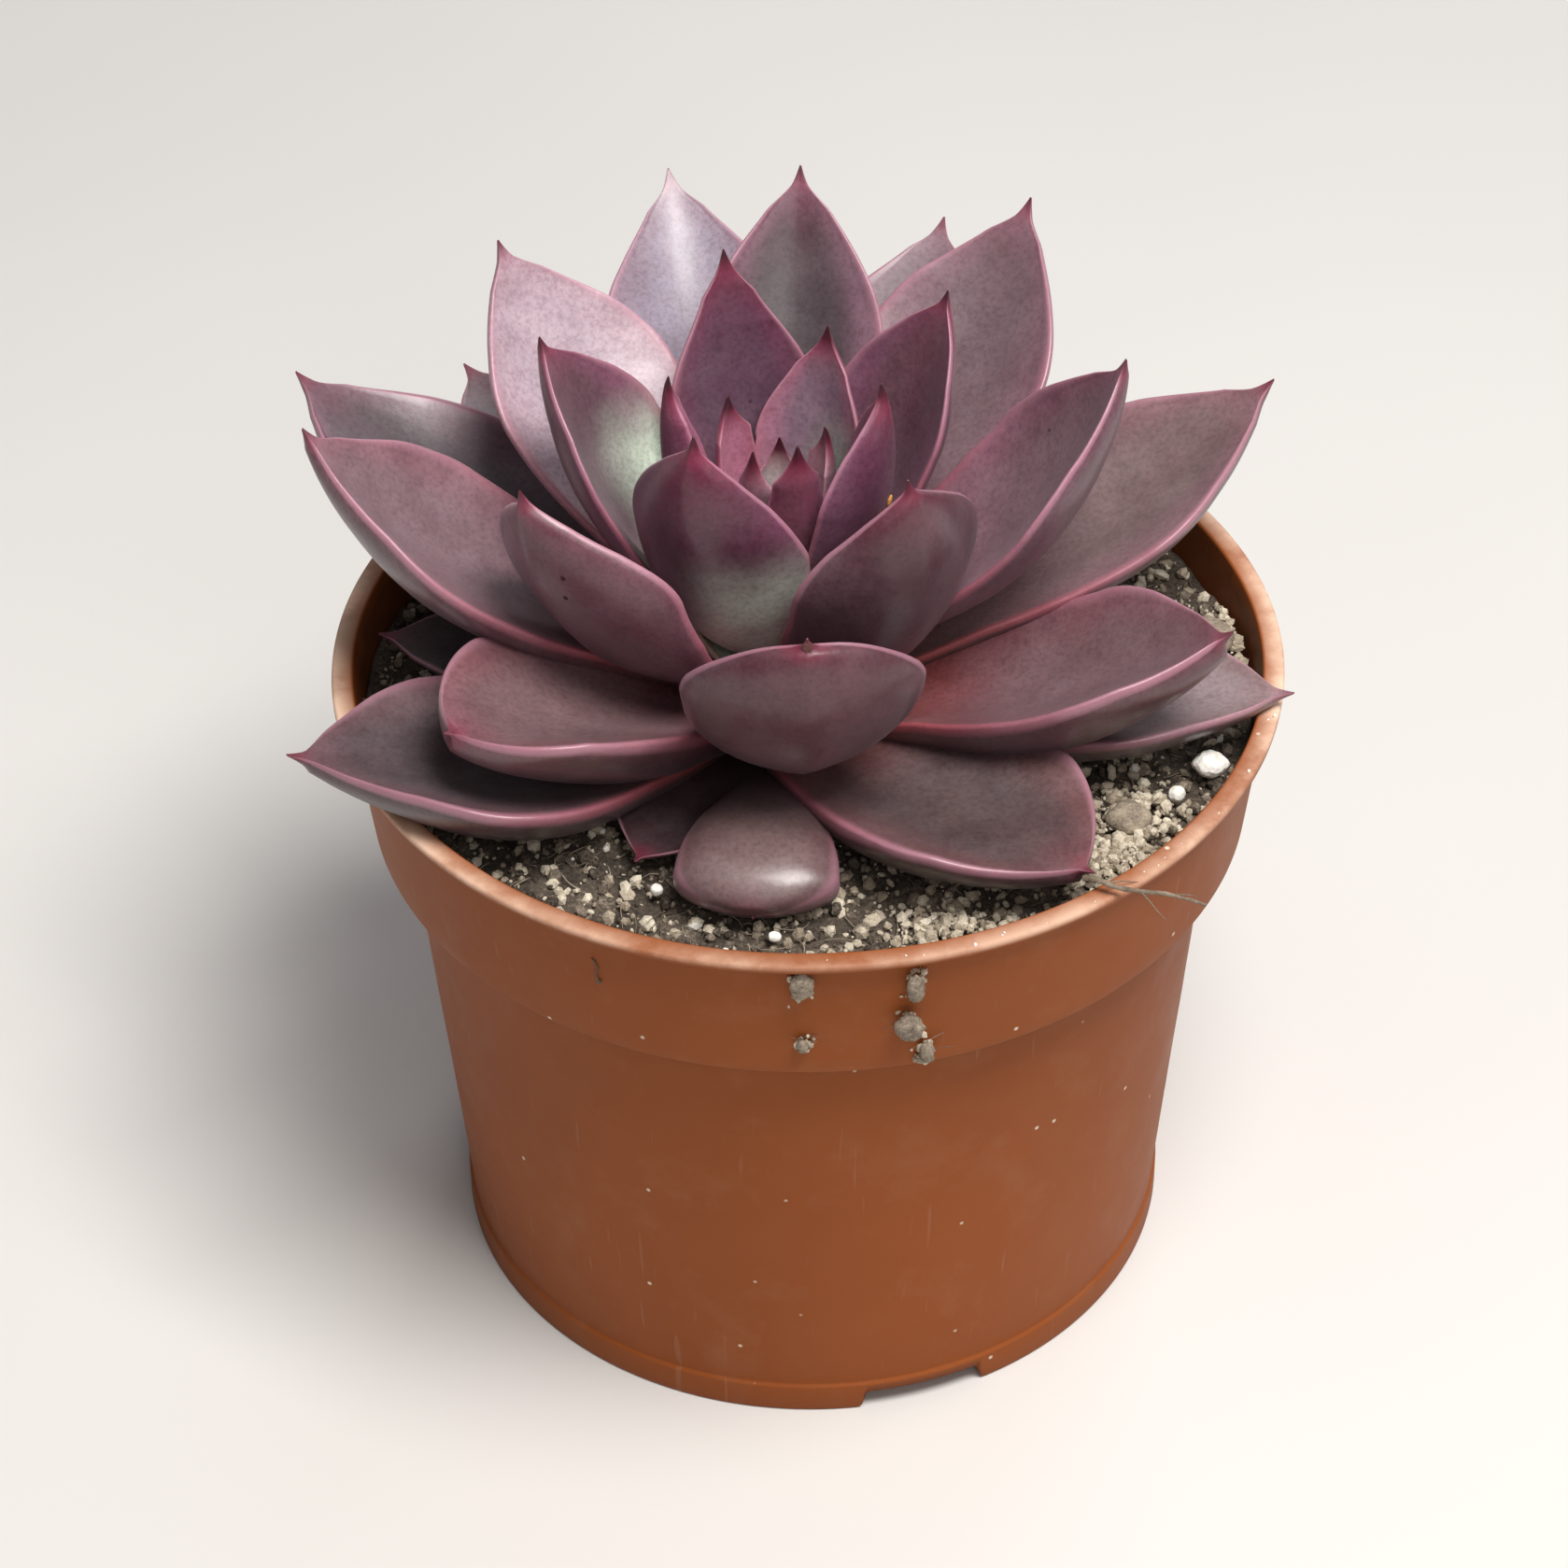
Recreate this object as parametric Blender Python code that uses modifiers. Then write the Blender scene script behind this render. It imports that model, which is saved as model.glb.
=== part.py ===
"""Potted succulent: a rosette of fleshy pointed leaves on a short stem, in a round nursery pot.

Metres, +Z up. The pot stands on z = 0 and the whole object is centred on the z axis. The pot, the soil,
the stem, every leaf, the pieces of perlite and peat, the dry root and the crumbs on the pot are each one
closed solid.
"""

import math

import bmesh
import bpy
import numpy as np
from mathutils import Matrix, Vector

MM = 0.001

# The pot: outer sizes, then its walls.
RIM_RADIUS = 60.0 * MM
POT_HEIGHT = 89.3 * MM
LIP_THICKNESS = 1.2 * MM
LIP_OVERHANG = 1.6 * MM
COLLAR_DEPTH = 20.4 * MM
COLLAR_TAPER = 2.2 * MM
STEP_IN = 4.1 * MM
BODY_TAPER = 5.3 * MM
WALL = 1.1 * MM
FLOOR_THICKNESS = 1.3 * MM
FOOT_HEIGHT = 4.5 * MM
FOOT_PROUD = 0.4 * MM
FOOT_RECESS = 3.4 * MM
FOOT_WALL = 1.5 * MM
POT_STEPS = 64

# Drainage: notches through the foot ring and round holes through the floor.
NOTCH_COUNT = 3
NOTCH_WIDTH = 16.0 * MM
NOTCH_HEIGHT = 3.0 * MM
FIRST_NOTCH = 17.6
HOLE_COUNT = 6
HOLE_RADIUS = 3.5 * MM
HOLE_CIRCLE = 32.0 * MM

# The soil. GAP keeps neighbouring solids apart.
GAP = 0.3 * MM
SOIL_DROP = 6.5 * MM
SOIL_CROWN = 0.6 * MM
COLLAR_EDGE = 0.33 * MM

# The plant, in mm as it is drawn for a pot of this rim radius whose soil lies this far under the rim. In
# another pot it grows to match. Heights of the stem are above the drawn soil.
DRAWN_RIM = 60.0
DRAWN_DROP = 6.5
ROOT_DEPTH = 12.0
STEM_ACROSS = -3.6
STEM_BACK = -0.2
STEM_LEAN = 8.0 / 18.0
APEX_HEIGHT = 18.5
APEX_RADIUS = 1.1
STEM_SPREAD = 0.33
LEAF_GAP = 0.3

# Leaf solids. Bearings run from the front (-Y) towards +X.
LEAF_RINGS = 9
LEAF_SIDES = 8
RING_CROWDING = 1.25
START_PULL = 0.42
END_PULL = 0.38
UPPER_SHARE = 0.22
BELLY_POWER = 0.85
MARGIN_POWER = 1.8
THICKEST_NECK = 1.5
TIP_SHARE = 0.075
# Shares of the full thickness, and of the margins' rise, at shares of the leaf's length.
THICKNESS_ALONG = ((0, 0.15, 0.4, 0.7, 0.9, 0.97, 1), (0.5, 0.7, 1, 0.85, 0.42, 0.2, 0))
RISE_ALONG = ((0, 0.25, 0.8, 1), (0.3, 1, 1, 0.5))
# Neck width over leaf width, for leaf numbers from the heart outwards.
NECKS = ((1, 12, 20, 36), (0.36, 0.30, 0.22, 0.16))

# From the heart outwards, in degrees and mm: bearing of the tip, its reach from the stem and its height
# above the drawn rim, leaf width and thickness, height of its base above the drawn soil, slope where it
# starts and where it ends, how far its margins rise per half width, and sideways bow.
LEAVES = [
    (270, 2.5, 25.0, 4, 1.2, 18.0, 80, 95, 0.30, 0),
    (48, 3.0, 26.0, 4, 1.2, 17.5, 80, 95, 0.30, 0),
    (175, 4.6, 29.7, 5, 1.2, 17.0, 75, 95, 0.40, 0),
    (323, 4.6, 31.5, 6, 1.3, 16.5, 75, 95, 0.40, 0),
    (100, 6.0, 33.5, 7, 1.4, 16.0, 72, 95, 0.40, 0),
    (239, 6.7, 35.7, 8, 1.4, 15.6, 70, 95, 0.40, 0),
    (18, 8.5, 36.0, 9, 1.5, 15.1, 68, 95, 0.40, 0),
    (150, 12.9, 41.6, 12, 1.3, 14.6, 61, 85, 0.36, 0),
    (289, 12.7, 45.0, 13, 1.6, 14.1, 62, 88, 0.50, 0),
    (66, 13.8, 43.4, 15, 1.6, 13.7, 62, 92, 0.50, 0),
    (198, 20.3, 48.2, 19, 1.8, 13.2, 50, 75, 0.35, 0),
    (333, 20.0, 45.0, 23, 2.1, 12.7, 35, 92, 0.40, 0),
    (121, 24.7, 45.6, 19, 1.7, 12.2, 48, 75, 0.38, 0),
    (261, 28.8, 45.0, 21, 2.0, 11.7, 38, 75, 0.40, 0),
    (40, 30.3, 42.0, 25, 2.3, 11.3, 22, 90, 0.42, 0),
    (175, 37.8, 48.0, 23, 2.4, 10.8, 40, 62, 0.30, 0),
    (304, 37.5, 39.5, 24, 2.6, 10.3, 20, 75, 0.35, 0),
    (88, 42.1, 45.0, 26, 2.4, 9.6, 26, 75, 0.38, 0),
    (228, 46.9, 41.4, 27, 2.6, 9.4, 30, 65, 0.32, 0),
    (5, 41.0, 34.0, 28, 3.8, 9.4, 6, 85, 0.38, 0),
    (143, 54.4, 39.2, 27, 2.8, 8.4, 26, 58, 0.30, 0),
    (274, 57.1, 38.2, 27, 2.8, 8.3, 17, 62, 0.35, 0),
    (66, 58.5, 21.6, 26, 3.2, 7.2, 3, 42, 0.40, 0),
    (193, 63.0, 32.8, 27, 2.8, 7.0, 22, 45, 0.28, 0),
    (311, 52.5, 15.0, 27, 4.0, 6.6, 7, 22, 0.40, 0),
    (109, 65.4, 25.4, 28, 2.8, 5.0, 13, 40, 0.30, 0),
    (245, 67.8, 23.6, 29, 2.8, 5.5, 12, 40, 0.30, 0),
    (40, 58.0, 2.2, 28, 4.0, 5.4, -6, 10, 0.33, -2),
    (161, 71.0, 21.0, 28, 2.6, 4.8, 12, 32, 0.25, 0),
    (296, 66.0, 7.5, 30, 3.6, 4.4, -3, 16, 0.30, 4),
    (79, 62.0, 2.5, 26, 3.0, 4.0, -4, 8, 0.30, 0),
    (220, 65.0, 10.0, 28, 2.4, 3.2, 5, 15, 0.22, 0),
    (356, 45.5, -1.6, 18, 4.6, 4.8, -1, -24, 0.0, 0),
    (129, 55.6, 3.2, 24, 2.2, 2.8, 4, 5, 0.20, 0),
    (267, 50.7, 1.3, 18, 1.8, 2.8, 0, 6, 0.20, 0),
    (329, 38.0, -4.8, 13, 1.2, 1.4, 0, -4, 0.12, 0),
]
# Outlines that differ from the common one: where the leaf is widest and how blunt its point is.
COMMON_OUTLINE = (0.58, 0.9)
OUTLINES = {12: (0.60, 0.9), 15: (0.62, 0.9), 17: (0.60, 0.9), 20: (0.72, 0.5), 23: (0.63, 0.9),
            25: (0.70, 0.5), 28: (0.68, 0.6), 33: (0.75, 0.5)}

# Loose pieces: name, bearing and distance from the pot's axis, then length, width and height, in mm.
SOIL_PIECES = [
    ("perlite_large", 70, 52.9, 5.2, 4.0, 3.6),
    ("perlite_side", 63, 50.8, 2.6, 2.4, 2.4),
    ("perlite_front", 355, 48.5, 1.9, 1.6, 1.4),
    ("perlite_small", 335, 43.8, 1.8, 1.6, 1.6),
    ("peat_lump_back", 97, 51.6, 8.0, 7.0, 5.0),
    ("peat_lump_side", 54, 48.4, 7.0, 6.0, 3.6),
]
# Crumbs stuck to the collar: name, bearing, depth under the rim, then width, height and thickness, in mm.
COLLAR_CRUMBS = [
    ("crumb_top_left", 359, 3.6, 3.4, 4.6, 1.5),
    ("crumb_top_right", 12, 5.2, 2.7, 4.8, 1.9),
    ("crumb_middle", 11.4, 11.6, 4.2, 4.6, 2.6),
    ("crumb_low", 13.8, 17.3, 1.9, 3.2, 1.6),
    ("crumb_left_low", 359, 14.4, 1.9, 2.2, 1.4),
]
ROOT_THREAD_RADIUS = 0.25 * MM
# The dry root lying over the rim: bearing, distance from the pot's axis and height above the rim, in mm.
ROOT_ROUTE = [(35.2, 56.2, 1.2), (36.2, 58.2, 1.6), (37.2, 60.2, 1.4), (38.8, 62.0, 1.1),
              (40.8, 64.0, 0.8), (42.4, 66.0, 0.2), (43.8, 67.6, -0.6)]

rim_height = POT_HEIGHT
soil_height = POT_HEIGHT - SOIL_DROP
collar_top = RIM_RADIUS - LIP_OVERHANG
collar_foot = collar_top - COLLAR_TAPER
body_top = collar_foot - STEP_IN
body_foot = body_top - BODY_TAPER
step_height = POT_HEIGHT - COLLAR_DEPTH
ledge_height = step_height + WALL
floor_top = FOOT_RECESS + FLOOR_THICKNESS
# One drawn millimetre of the plant. The drawing starts at the soil, or higher where the soil lies deeper
# than drawn, so that the leaves that cross the rim still clear it.
grown_mm = RIM_RADIUS / DRAWN_RIM
plant_floor = soil_height + max(0.0, SOIL_DROP - DRAWN_DROP * grown_mm)


def clear_scene():
    """Empties the file that the script runs in."""
    for obj in list(bpy.data.objects):
        bpy.data.objects.remove(obj, do_unlink=True)


def collection(name):
    """A new collection in the scene."""
    made = bpy.data.collections.new(name)
    bpy.context.scene.collection.children.link(made)
    return made


def material(name, colour, roughness):
    """A Principled material of one colour, given as linear red, green and blue."""
    made = bpy.data.materials.new(name)
    made.use_nodes = True
    shader = made.node_tree.nodes["Principled BSDF"]
    shader.inputs["Base Color"].default_value = (*colour, 1.0)
    shader.inputs["Roughness"].default_value = roughness
    return made


def new_object(name, mesh, home, finish):
    """An object of this mesh in the collection, shaded smooth, with one material."""
    made = bpy.data.objects.new(name, mesh)
    home.objects.link(made)
    mesh.materials.append(finish)
    mesh.shade_smooth()
    mesh.set_sharp_from_angle(angle=math.radians(40))
    return made


def mesh_of(name, points, edges, faces):
    """A mesh from plain lists."""
    made = bpy.data.meshes.new(name)
    made.from_pydata([tuple(point) for point in points], edges, faces)
    made.update()
    return made


def turned(name, profile, home, finish, steps=POT_STEPS):
    """A profile of (radius, height) points, outer side top to bottom, turned about z by a Screw modifier."""
    points = [(radius, 0.0, height) for radius, height in profile]
    closed = profile[0][0] > 0.0
    count = len(points)
    edges = [(i, (i + 1) % count) for i in range(count if closed else count - 1)]
    made = new_object(name, mesh_of(name, points, edges, []), home, finish)
    screw = made.modifiers.new("Turn", "SCREW")
    screw.axis = "Z"
    screw.angle = math.tau
    screw.steps = steps
    screw.render_steps = steps
    screw.use_merge_vertices = True
    screw.merge_threshold = 0.00001
    screw.use_normal_calculate = False
    return made


def settle(obj):
    """Turns an object's modifiers into its own mesh."""
    graph = bpy.context.evaluated_depsgraph_get()
    mesh = bpy.data.meshes.new_from_object(obj.evaluated_get(graph))
    obj.modifiers.clear()
    obj.data = mesh
    return obj


def cut(obj, cutter):
    """Cuts one object with another, which stays in the file as a hidden wire."""
    cutter.hide_render = True
    cutter.display_type = "WIRE"
    boolean = obj.modifiers.new("Cut " + cutter.name, "BOOLEAN")
    boolean.operation = "DIFFERENCE"
    boolean.solver = "EXACT"
    boolean.object = cutter


def on_bearing(bearing, distance, height=0.0):
    """The point at this bearing, from the front (-Y) towards +X, and this distance from the z axis."""
    angle = math.radians(bearing)
    return Vector((distance * math.sin(angle), -distance * math.cos(angle), height))


def inner_radius(height):
    """The inside radius of the pot's wall at a height."""
    if height > ledge_height:
        share = (POT_HEIGHT - height) / COLLAR_DEPTH
        return collar_top - COLLAR_TAPER * share - WALL
    share = (step_height - height) / (step_height - FOOT_HEIGHT)
    return body_top - BODY_TAPER * share - WALL


def pot_profile():
    """The pot's section: lip, collar, step, body and foot ring outside, then the floor and the inside."""
    foot = body_foot + FOOT_PROUD
    return [
        (RIM_RADIUS, POT_HEIGHT),
        (RIM_RADIUS, POT_HEIGHT - LIP_THICKNESS),
        (collar_top, POT_HEIGHT - LIP_THICKNESS),
        (collar_foot, step_height + COLLAR_EDGE),
        (collar_foot - COLLAR_EDGE, step_height),
        (body_top, step_height),
        (body_foot, FOOT_HEIGHT),
        (foot, FOOT_HEIGHT - FOOT_PROUD),
        (foot, 0.0),
        (foot - FOOT_WALL, 0.0),
        (foot - FOOT_WALL, FOOT_RECESS),
        (0.0, FOOT_RECESS),
        (0.0, floor_top),
        (inner_radius(floor_top), floor_top),
        (body_top - WALL, ledge_height),
        (collar_foot - WALL, ledge_height + COLLAR_EDGE),
        (collar_top - WALL, POT_HEIGHT),
    ]


def make_pot(home, cutters, finish):
    """The pot, with notches in its foot ring and drain holes in its floor."""
    profile = pot_profile()
    # The section starts and ends on the axis, so it is listed from the floor's underside round to its top.
    start = profile.index((0.0, floor_top))
    profile = profile[start:] + profile[:start]
    pot = turned("pot", profile, home, finish)
    for number in range(NOTCH_COUNT):
        bpy.ops.mesh.primitive_cube_add(size=1.0)
        notch = bpy.context.object
        notch.name = f"notch_cutter_{number + 1}"
        bearing = FIRST_NOTCH + number * 360.0 / NOTCH_COUNT
        notch.data.transform(Matrix.Diagonal((NOTCH_WIDTH, 4.0 * FOOT_WALL, 2.0 * NOTCH_HEIGHT, 1.0)))
        notch.location = on_bearing(bearing, body_foot)
        notch.rotation_euler = (0.0, 0.0, math.radians(bearing))
        place_in(notch, cutters)
        cut(pot, notch)
    for number in range(HOLE_COUNT):
        bpy.ops.mesh.primitive_cylinder_add(vertices=16, radius=HOLE_RADIUS, depth=6.0 * FLOOR_THICKNESS)
        hole = bpy.context.object
        hole.name = f"hole_cutter_{number + 1}"
        hole.location = on_bearing(number * 360.0 / HOLE_COUNT, HOLE_CIRCLE, floor_top)
        place_in(hole, cutters)
        cut(pot, hole)
    return pot


def place_in(obj, home):
    """Moves an object from the scene's own collection into this one."""
    for holder in list(obj.users_collection):
        holder.objects.unlink(obj)
    home.objects.link(obj)


def stem_centre(height):
    """Where the leaning stem's axis is, in drawn mm: at the apex it is over its named place."""
    return Vector((STEM_ACROSS, STEM_BACK - STEM_LEAN * (APEX_HEIGHT - height), height))


def stem_radius(height):
    """The stem widens evenly from its apex down to the soil and keeps that radius below it, in drawn mm."""
    return APEX_RADIUS + STEM_SPREAD * (APEX_HEIGHT - max(height, 0.0))


def stem_solid(name, home, finish, room, top, steps=24):
    """The stem, or with some room round it its socket, from its rounded top to the end of its root."""
    high = top * grown_mm
    crown = stem_radius(top) * grown_mm + room
    foot = stem_radius(0.0) * grown_mm + room
    root = -ROOT_DEPTH * grown_mm - room
    profile = [
        (0.0, high + 0.5 * crown),
        (0.6 * crown, high + 0.35 * crown),
        (crown, high),
        (0.5 * (crown + foot), 0.5 * high),
        (foot, 0.0),
        (0.8 * foot, root + 0.25 * foot),
        (0.0, root),
    ]
    stem = settle(turned(name, profile, home, finish, steps))
    lean = Matrix.Identity(4)
    lean[1][2] = STEM_LEAN
    stem.data.transform(lean)
    stem.location = stem_centre(0.0) * grown_mm + Vector((0.0, 0.0, plant_floor))
    return stem


def make_soil(home, cutters, finish, bare):
    """The soil fills the pot to SOIL_DROP under the rim, with a socket for the stem and its root."""
    edge = inner_radius(soil_height) - GAP
    profile = [
        (0.0, soil_height),
        (0.5 * edge, soil_height),
        (edge, soil_height - SOIL_CROWN),
        (collar_foot - WALL - GAP, ledge_height + COLLAR_EDGE + GAP),
        (body_top - WALL - GAP, ledge_height + GAP),
        (inner_radius(floor_top) - GAP, floor_top + GAP),
        (0.0, floor_top + GAP),
    ]
    soil = turned("soil", profile, home, finish)
    socket = stem_solid("stem_socket", cutters, bare, GAP, APEX_HEIGHT)
    cut(soil, socket)
    return soil


def bezier(p0, p1, p2, p3, t):
    """Points on a cubic curve and its unit directions, as arrays."""
    t = t[:, None]
    curve = (1 - t) ** 3 * p0 + 3 * (1 - t) ** 2 * t * p1 + 3 * (1 - t) * t * t * p2 + t**3 * p3
    slope = (1 - t) ** 2 * (p1 - p0) + 2 * (1 - t) * t * (p2 - p1) + t * t * (p3 - p2)
    return curve, slope / np.linalg.norm(slope, axis=1)[:, None]


def half_width(t, neck, widest, blunt):
    """The leaf's outline: a narrow neck swelling to the widest place, then in to a small hard point."""
    swell = neck + (1 - neck) * np.sin(math.pi / 2 * np.clip(t / widest, 0, 1)) ** 1.2
    past = np.clip((t - widest) / (1 - widest), 0, 1)
    shoulder = np.clip(1 - (past / 0.93) ** 2, 0, 1) ** blunt
    point = TIP_SHARE * np.clip(1 - past, 0, 1) ** 0.8
    return np.where(t < widest, swell, np.maximum(shoulder, point))


def leaf_rings(row, outline):
    """The leaf's cross-sections, neck to point: the midrib climbs and bends in its own upright plane, and
    each section is a shallow trough above and a full belly below."""
    bearing, reach, tip, width, thickness, base, start, finish, cup, bow = row
    centre = stem_centre(base)
    end = Vector((STEM_ACROSS, STEM_BACK, 0.0)) + on_bearing(bearing, reach)
    along = Vector((end.x - centre.x, end.y - centre.y, 0.0))
    length = along.length
    along.normalize()
    low = base - 0.5 * thickness
    root = stem_radius(low) + (stem_centre(low) - centre).dot(along) + LEAF_GAP
    root = max(root, stem_radius(base) + LEAF_GAP)
    across = np.array((-along.y, along.x, 0.0))
    along = np.array(along)
    up = np.array((0.0, 0.0, 1.0))

    t = 1 - (1 - np.linspace(0, 1, LEAF_RINGS)) ** RING_CROWDING
    p0 = np.array((root, base))
    p3 = np.array((length, DRAWN_DROP + tip))
    chord = np.linalg.norm(p3 - p0)
    rise = np.array((math.cos(math.radians(start)), math.sin(math.radians(start))))
    close = np.array((math.cos(math.radians(finish)), math.sin(math.radians(finish))))
    midrib, heading = bezier(p0, p0 + START_PULL * chord * rise, p3 - END_PULL * chord * close, p3, t)

    half = 0.5 * width * half_width(t, *outline)
    thick = np.minimum(thickness * np.interp(t, *THICKNESS_ALONG), THICKEST_NECK * half)
    turn = np.linspace(0, math.tau, LEAF_SIDES, endpoint=False)
    side = half[:, None] * np.cos(turn)[None, :]
    rim = cup * np.interp(t, *RISE_ALONG) * half
    lift = np.where(np.sin(turn) > 0, UPPER_SHARE, 1 - UPPER_SHARE) * np.sign(np.sin(turn).round(9))
    lift = thick[:, None] * (lift * np.abs(np.sin(turn)) ** BELLY_POWER)[None, :]
    lift = lift + rim[:, None] * np.abs(np.cos(turn))[None, :] ** MARGIN_POWER
    side = side + (bow * 4 * t * (1 - t))[:, None]

    out = midrib[:, 0][:, None] - heading[:, 1][:, None] * lift
    height = midrib[:, 1][:, None] + heading[:, 0][:, None] * lift
    foot = np.array((centre.x, centre.y, 0.0))
    drawn = foot + out[..., None] * along + side[..., None] * across + height[..., None] * up
    return drawn * grown_mm + plant_floor * up


def make_leaf(number, row, home, finish):
    """A leaf lofted through its sections, closed by a fan at its neck and at its point."""
    widest, blunt = OUTLINES.get(number, COMMON_OUTLINE)
    neck = np.interp(number, *NECKS)
    rings = leaf_rings(row, (neck, widest, blunt))
    body = rings[:-1].reshape(-1, 3)
    points = np.vstack((body, rings[0].mean(axis=0), rings[-1].mean(axis=0)))
    neck_point = len(body)
    tip_point = neck_point + 1
    last = (LEAF_RINGS - 2) * LEAF_SIDES
    faces = []
    for side in range(LEAF_SIDES):
        following = (side + 1) % LEAF_SIDES
        for ring in range(LEAF_RINGS - 2):
            low = ring * LEAF_SIDES
            high = low + LEAF_SIDES
            faces.append((low + side, low + following, high + following, high + side))
        faces.append((neck_point, following, side))
        faces.append((tip_point, last + side, last + following))
    mesh = mesh_of(f"leaf_{number:02d}", points, [], faces)
    point_outwards(mesh)
    return new_object(f"leaf_{number:02d}", mesh, home, finish)


def point_outwards(mesh):
    """Turns a closed mesh's faces outwards."""
    shape = bmesh.new()
    shape.from_mesh(mesh)
    bmesh.ops.recalc_face_normals(shape, faces=shape.faces)
    if shape.calc_volume(signed=True) < 0:
        bmesh.ops.reverse_faces(shape, faces=shape.faces)
    shape.to_mesh(mesh)
    shape.free()


def make_crumb(name, size, place, home, finish, seed):
    """A rough lump: a low sphere stretched to size, each corner moved in a little by a fixed wave."""
    bpy.ops.mesh.primitive_ico_sphere_add(subdivisions=2, radius=0.5)
    lump = bpy.context.object
    lump.name = name
    lump.data.name = name
    for vertex in lump.data.vertices:
        x, y, z = vertex.co
        wave = math.sin(9 * x + seed) * math.cos(8 * y - seed) + math.sin(7 * z + 2 * seed)
        vertex.co *= 0.92 + 0.05 * wave
    lump.data.transform(Matrix.Diagonal((*size, 1.0)))
    lump.location = place
    place_in(lump, home)
    lump.data.materials.append(finish)
    lump.data.shade_smooth()
    return lump


def make_soil_pieces(home, white, brown):
    """Perlite and peat lumps lying on the soil."""
    for seed, (name, bearing, distance, length, width, height) in enumerate(SOIL_PIECES, start=1):
        size = Vector((length, width, height)) * MM
        place = on_bearing(bearing, distance * grown_mm, soil_height + 0.5 * size.z + GAP)
        finish = white if name.startswith("perlite") else brown
        make_crumb(name, size, place, home, finish, seed)


def make_collar_crumbs(home, finish):
    """Soil crumbs stuck to the outside of the collar."""
    for seed, (name, bearing, depth, width, height, thickness) in enumerate(COLLAR_CRUMBS, start=11):
        share = (depth - 0.5 * height) * MM / COLLAR_DEPTH
        wall = collar_top - COLLAR_TAPER * share
        size = Vector((width, thickness, height)) * MM
        place = on_bearing(bearing, wall + 0.5 * size.y + GAP, POT_HEIGHT - depth * MM)
        crumb = make_crumb(name, size, place, home, finish, seed)
        crumb.rotation_euler = (0.0, 0.0, math.radians(bearing))


def make_root_thread(home, finish):
    """A dry root lying over the lip: a thin tube through hand-placed points."""
    curve = bpy.data.curves.new("root_thread", "CURVE")
    curve.dimensions = "3D"
    curve.bevel_depth = ROOT_THREAD_RADIUS
    curve.bevel_resolution = 1
    curve.use_fill_caps = True
    spline = curve.splines.new("POLY")
    spline.points.add(len(ROOT_ROUTE) - 1)
    for point, (bearing, distance, height) in zip(spline.points, ROOT_ROUTE):
        over = (distance - DRAWN_RIM) * MM + RIM_RADIUS
        point.co = (*on_bearing(bearing, over, rim_height + height * MM), 1.0)
    curve.materials.append(finish)
    thread = bpy.data.objects.new("root_thread", curve)
    home.objects.link(thread)
    return thread


def centre_on_origin(home, cutters):
    """Hangs every piece from one empty, moved so that the whole object's box is centred on the z axis."""
    bpy.context.view_layer.update()
    graph = bpy.context.evaluated_depsgraph_get()
    corners = []
    for obj in home.objects:
        evaluated = obj.evaluated_get(graph)
        mesh = evaluated.to_mesh()
        points = np.empty(len(mesh.vertices) * 3)
        mesh.vertices.foreach_get("co", points)
        world = np.array(evaluated.matrix_world)
        points = points.reshape(-1, 3) @ world[:3, :3].T + world[:3, 3]
        evaluated.to_mesh_clear()
        corners += [points.min(axis=0), points.max(axis=0)]
    middle = 0.5 * (np.min(corners, axis=0) + np.max(corners, axis=0))
    holder = bpy.data.objects.new("potted_succulent", None)
    home.objects.link(holder)
    for obj in [*home.objects, *cutters.objects]:
        if obj != holder:
            obj.parent = holder
    holder.location = (-middle[0], -middle[1], 0.0)


def main():
    """Builds the whole object."""
    clear_scene()
    home = collection("potted_succulent")
    cutters = collection("cutters")
    plastic = material("moulded_plastic_terracotta", (0.30, 0.10, 0.045), 0.45)
    peat = material("potting_peat", (0.045, 0.036, 0.028), 0.95)
    flesh = material("succulent_leaf", (0.20, 0.085, 0.10), 0.35)
    stalk = material("succulent_stem", (0.22, 0.20, 0.10), 0.6)
    white = material("perlite", (0.72, 0.70, 0.66), 0.9)
    brown = material("dry_peat", (0.20, 0.15, 0.095), 0.95)
    bare = material("cutter", (0.5, 0.5, 0.5), 0.5)

    make_pot(home, cutters, plastic)
    make_soil(home, cutters, peat, bare)
    stem_solid("stem", home, stalk, 0.0, APEX_HEIGHT - LEAF_GAP)
    for number, row in enumerate(LEAVES, start=1):
        make_leaf(number, row, home, flesh)
    make_soil_pieces(home, white, brown)
    make_collar_crumbs(home, brown)
    make_root_thread(home, brown)
    centre_on_origin(home, cutters)


main()
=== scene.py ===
"""Potted succulent: a rosette of waxy mauve leaves in a terracotta-coloured nursery pot of gritty peat.

Shapes are worked out in millimetres from the pot's axis at the height of its rim, X to the right, Y to
the back and Z up, and put in place in metres. Bearings run from the front (-Y) towards +X.
"""

import itertools
import math

import bpy
import numpy as np
from mathutils import Matrix, Vector


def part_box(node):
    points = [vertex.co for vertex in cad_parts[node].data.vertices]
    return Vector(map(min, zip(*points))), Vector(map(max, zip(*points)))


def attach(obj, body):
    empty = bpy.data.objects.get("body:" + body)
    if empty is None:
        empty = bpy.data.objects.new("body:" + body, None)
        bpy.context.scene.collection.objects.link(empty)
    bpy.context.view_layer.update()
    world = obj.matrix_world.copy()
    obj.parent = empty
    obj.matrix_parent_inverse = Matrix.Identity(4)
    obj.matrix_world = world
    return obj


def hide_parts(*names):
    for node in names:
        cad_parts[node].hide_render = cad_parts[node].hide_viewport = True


MM = 0.001
TAU = math.tau

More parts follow.
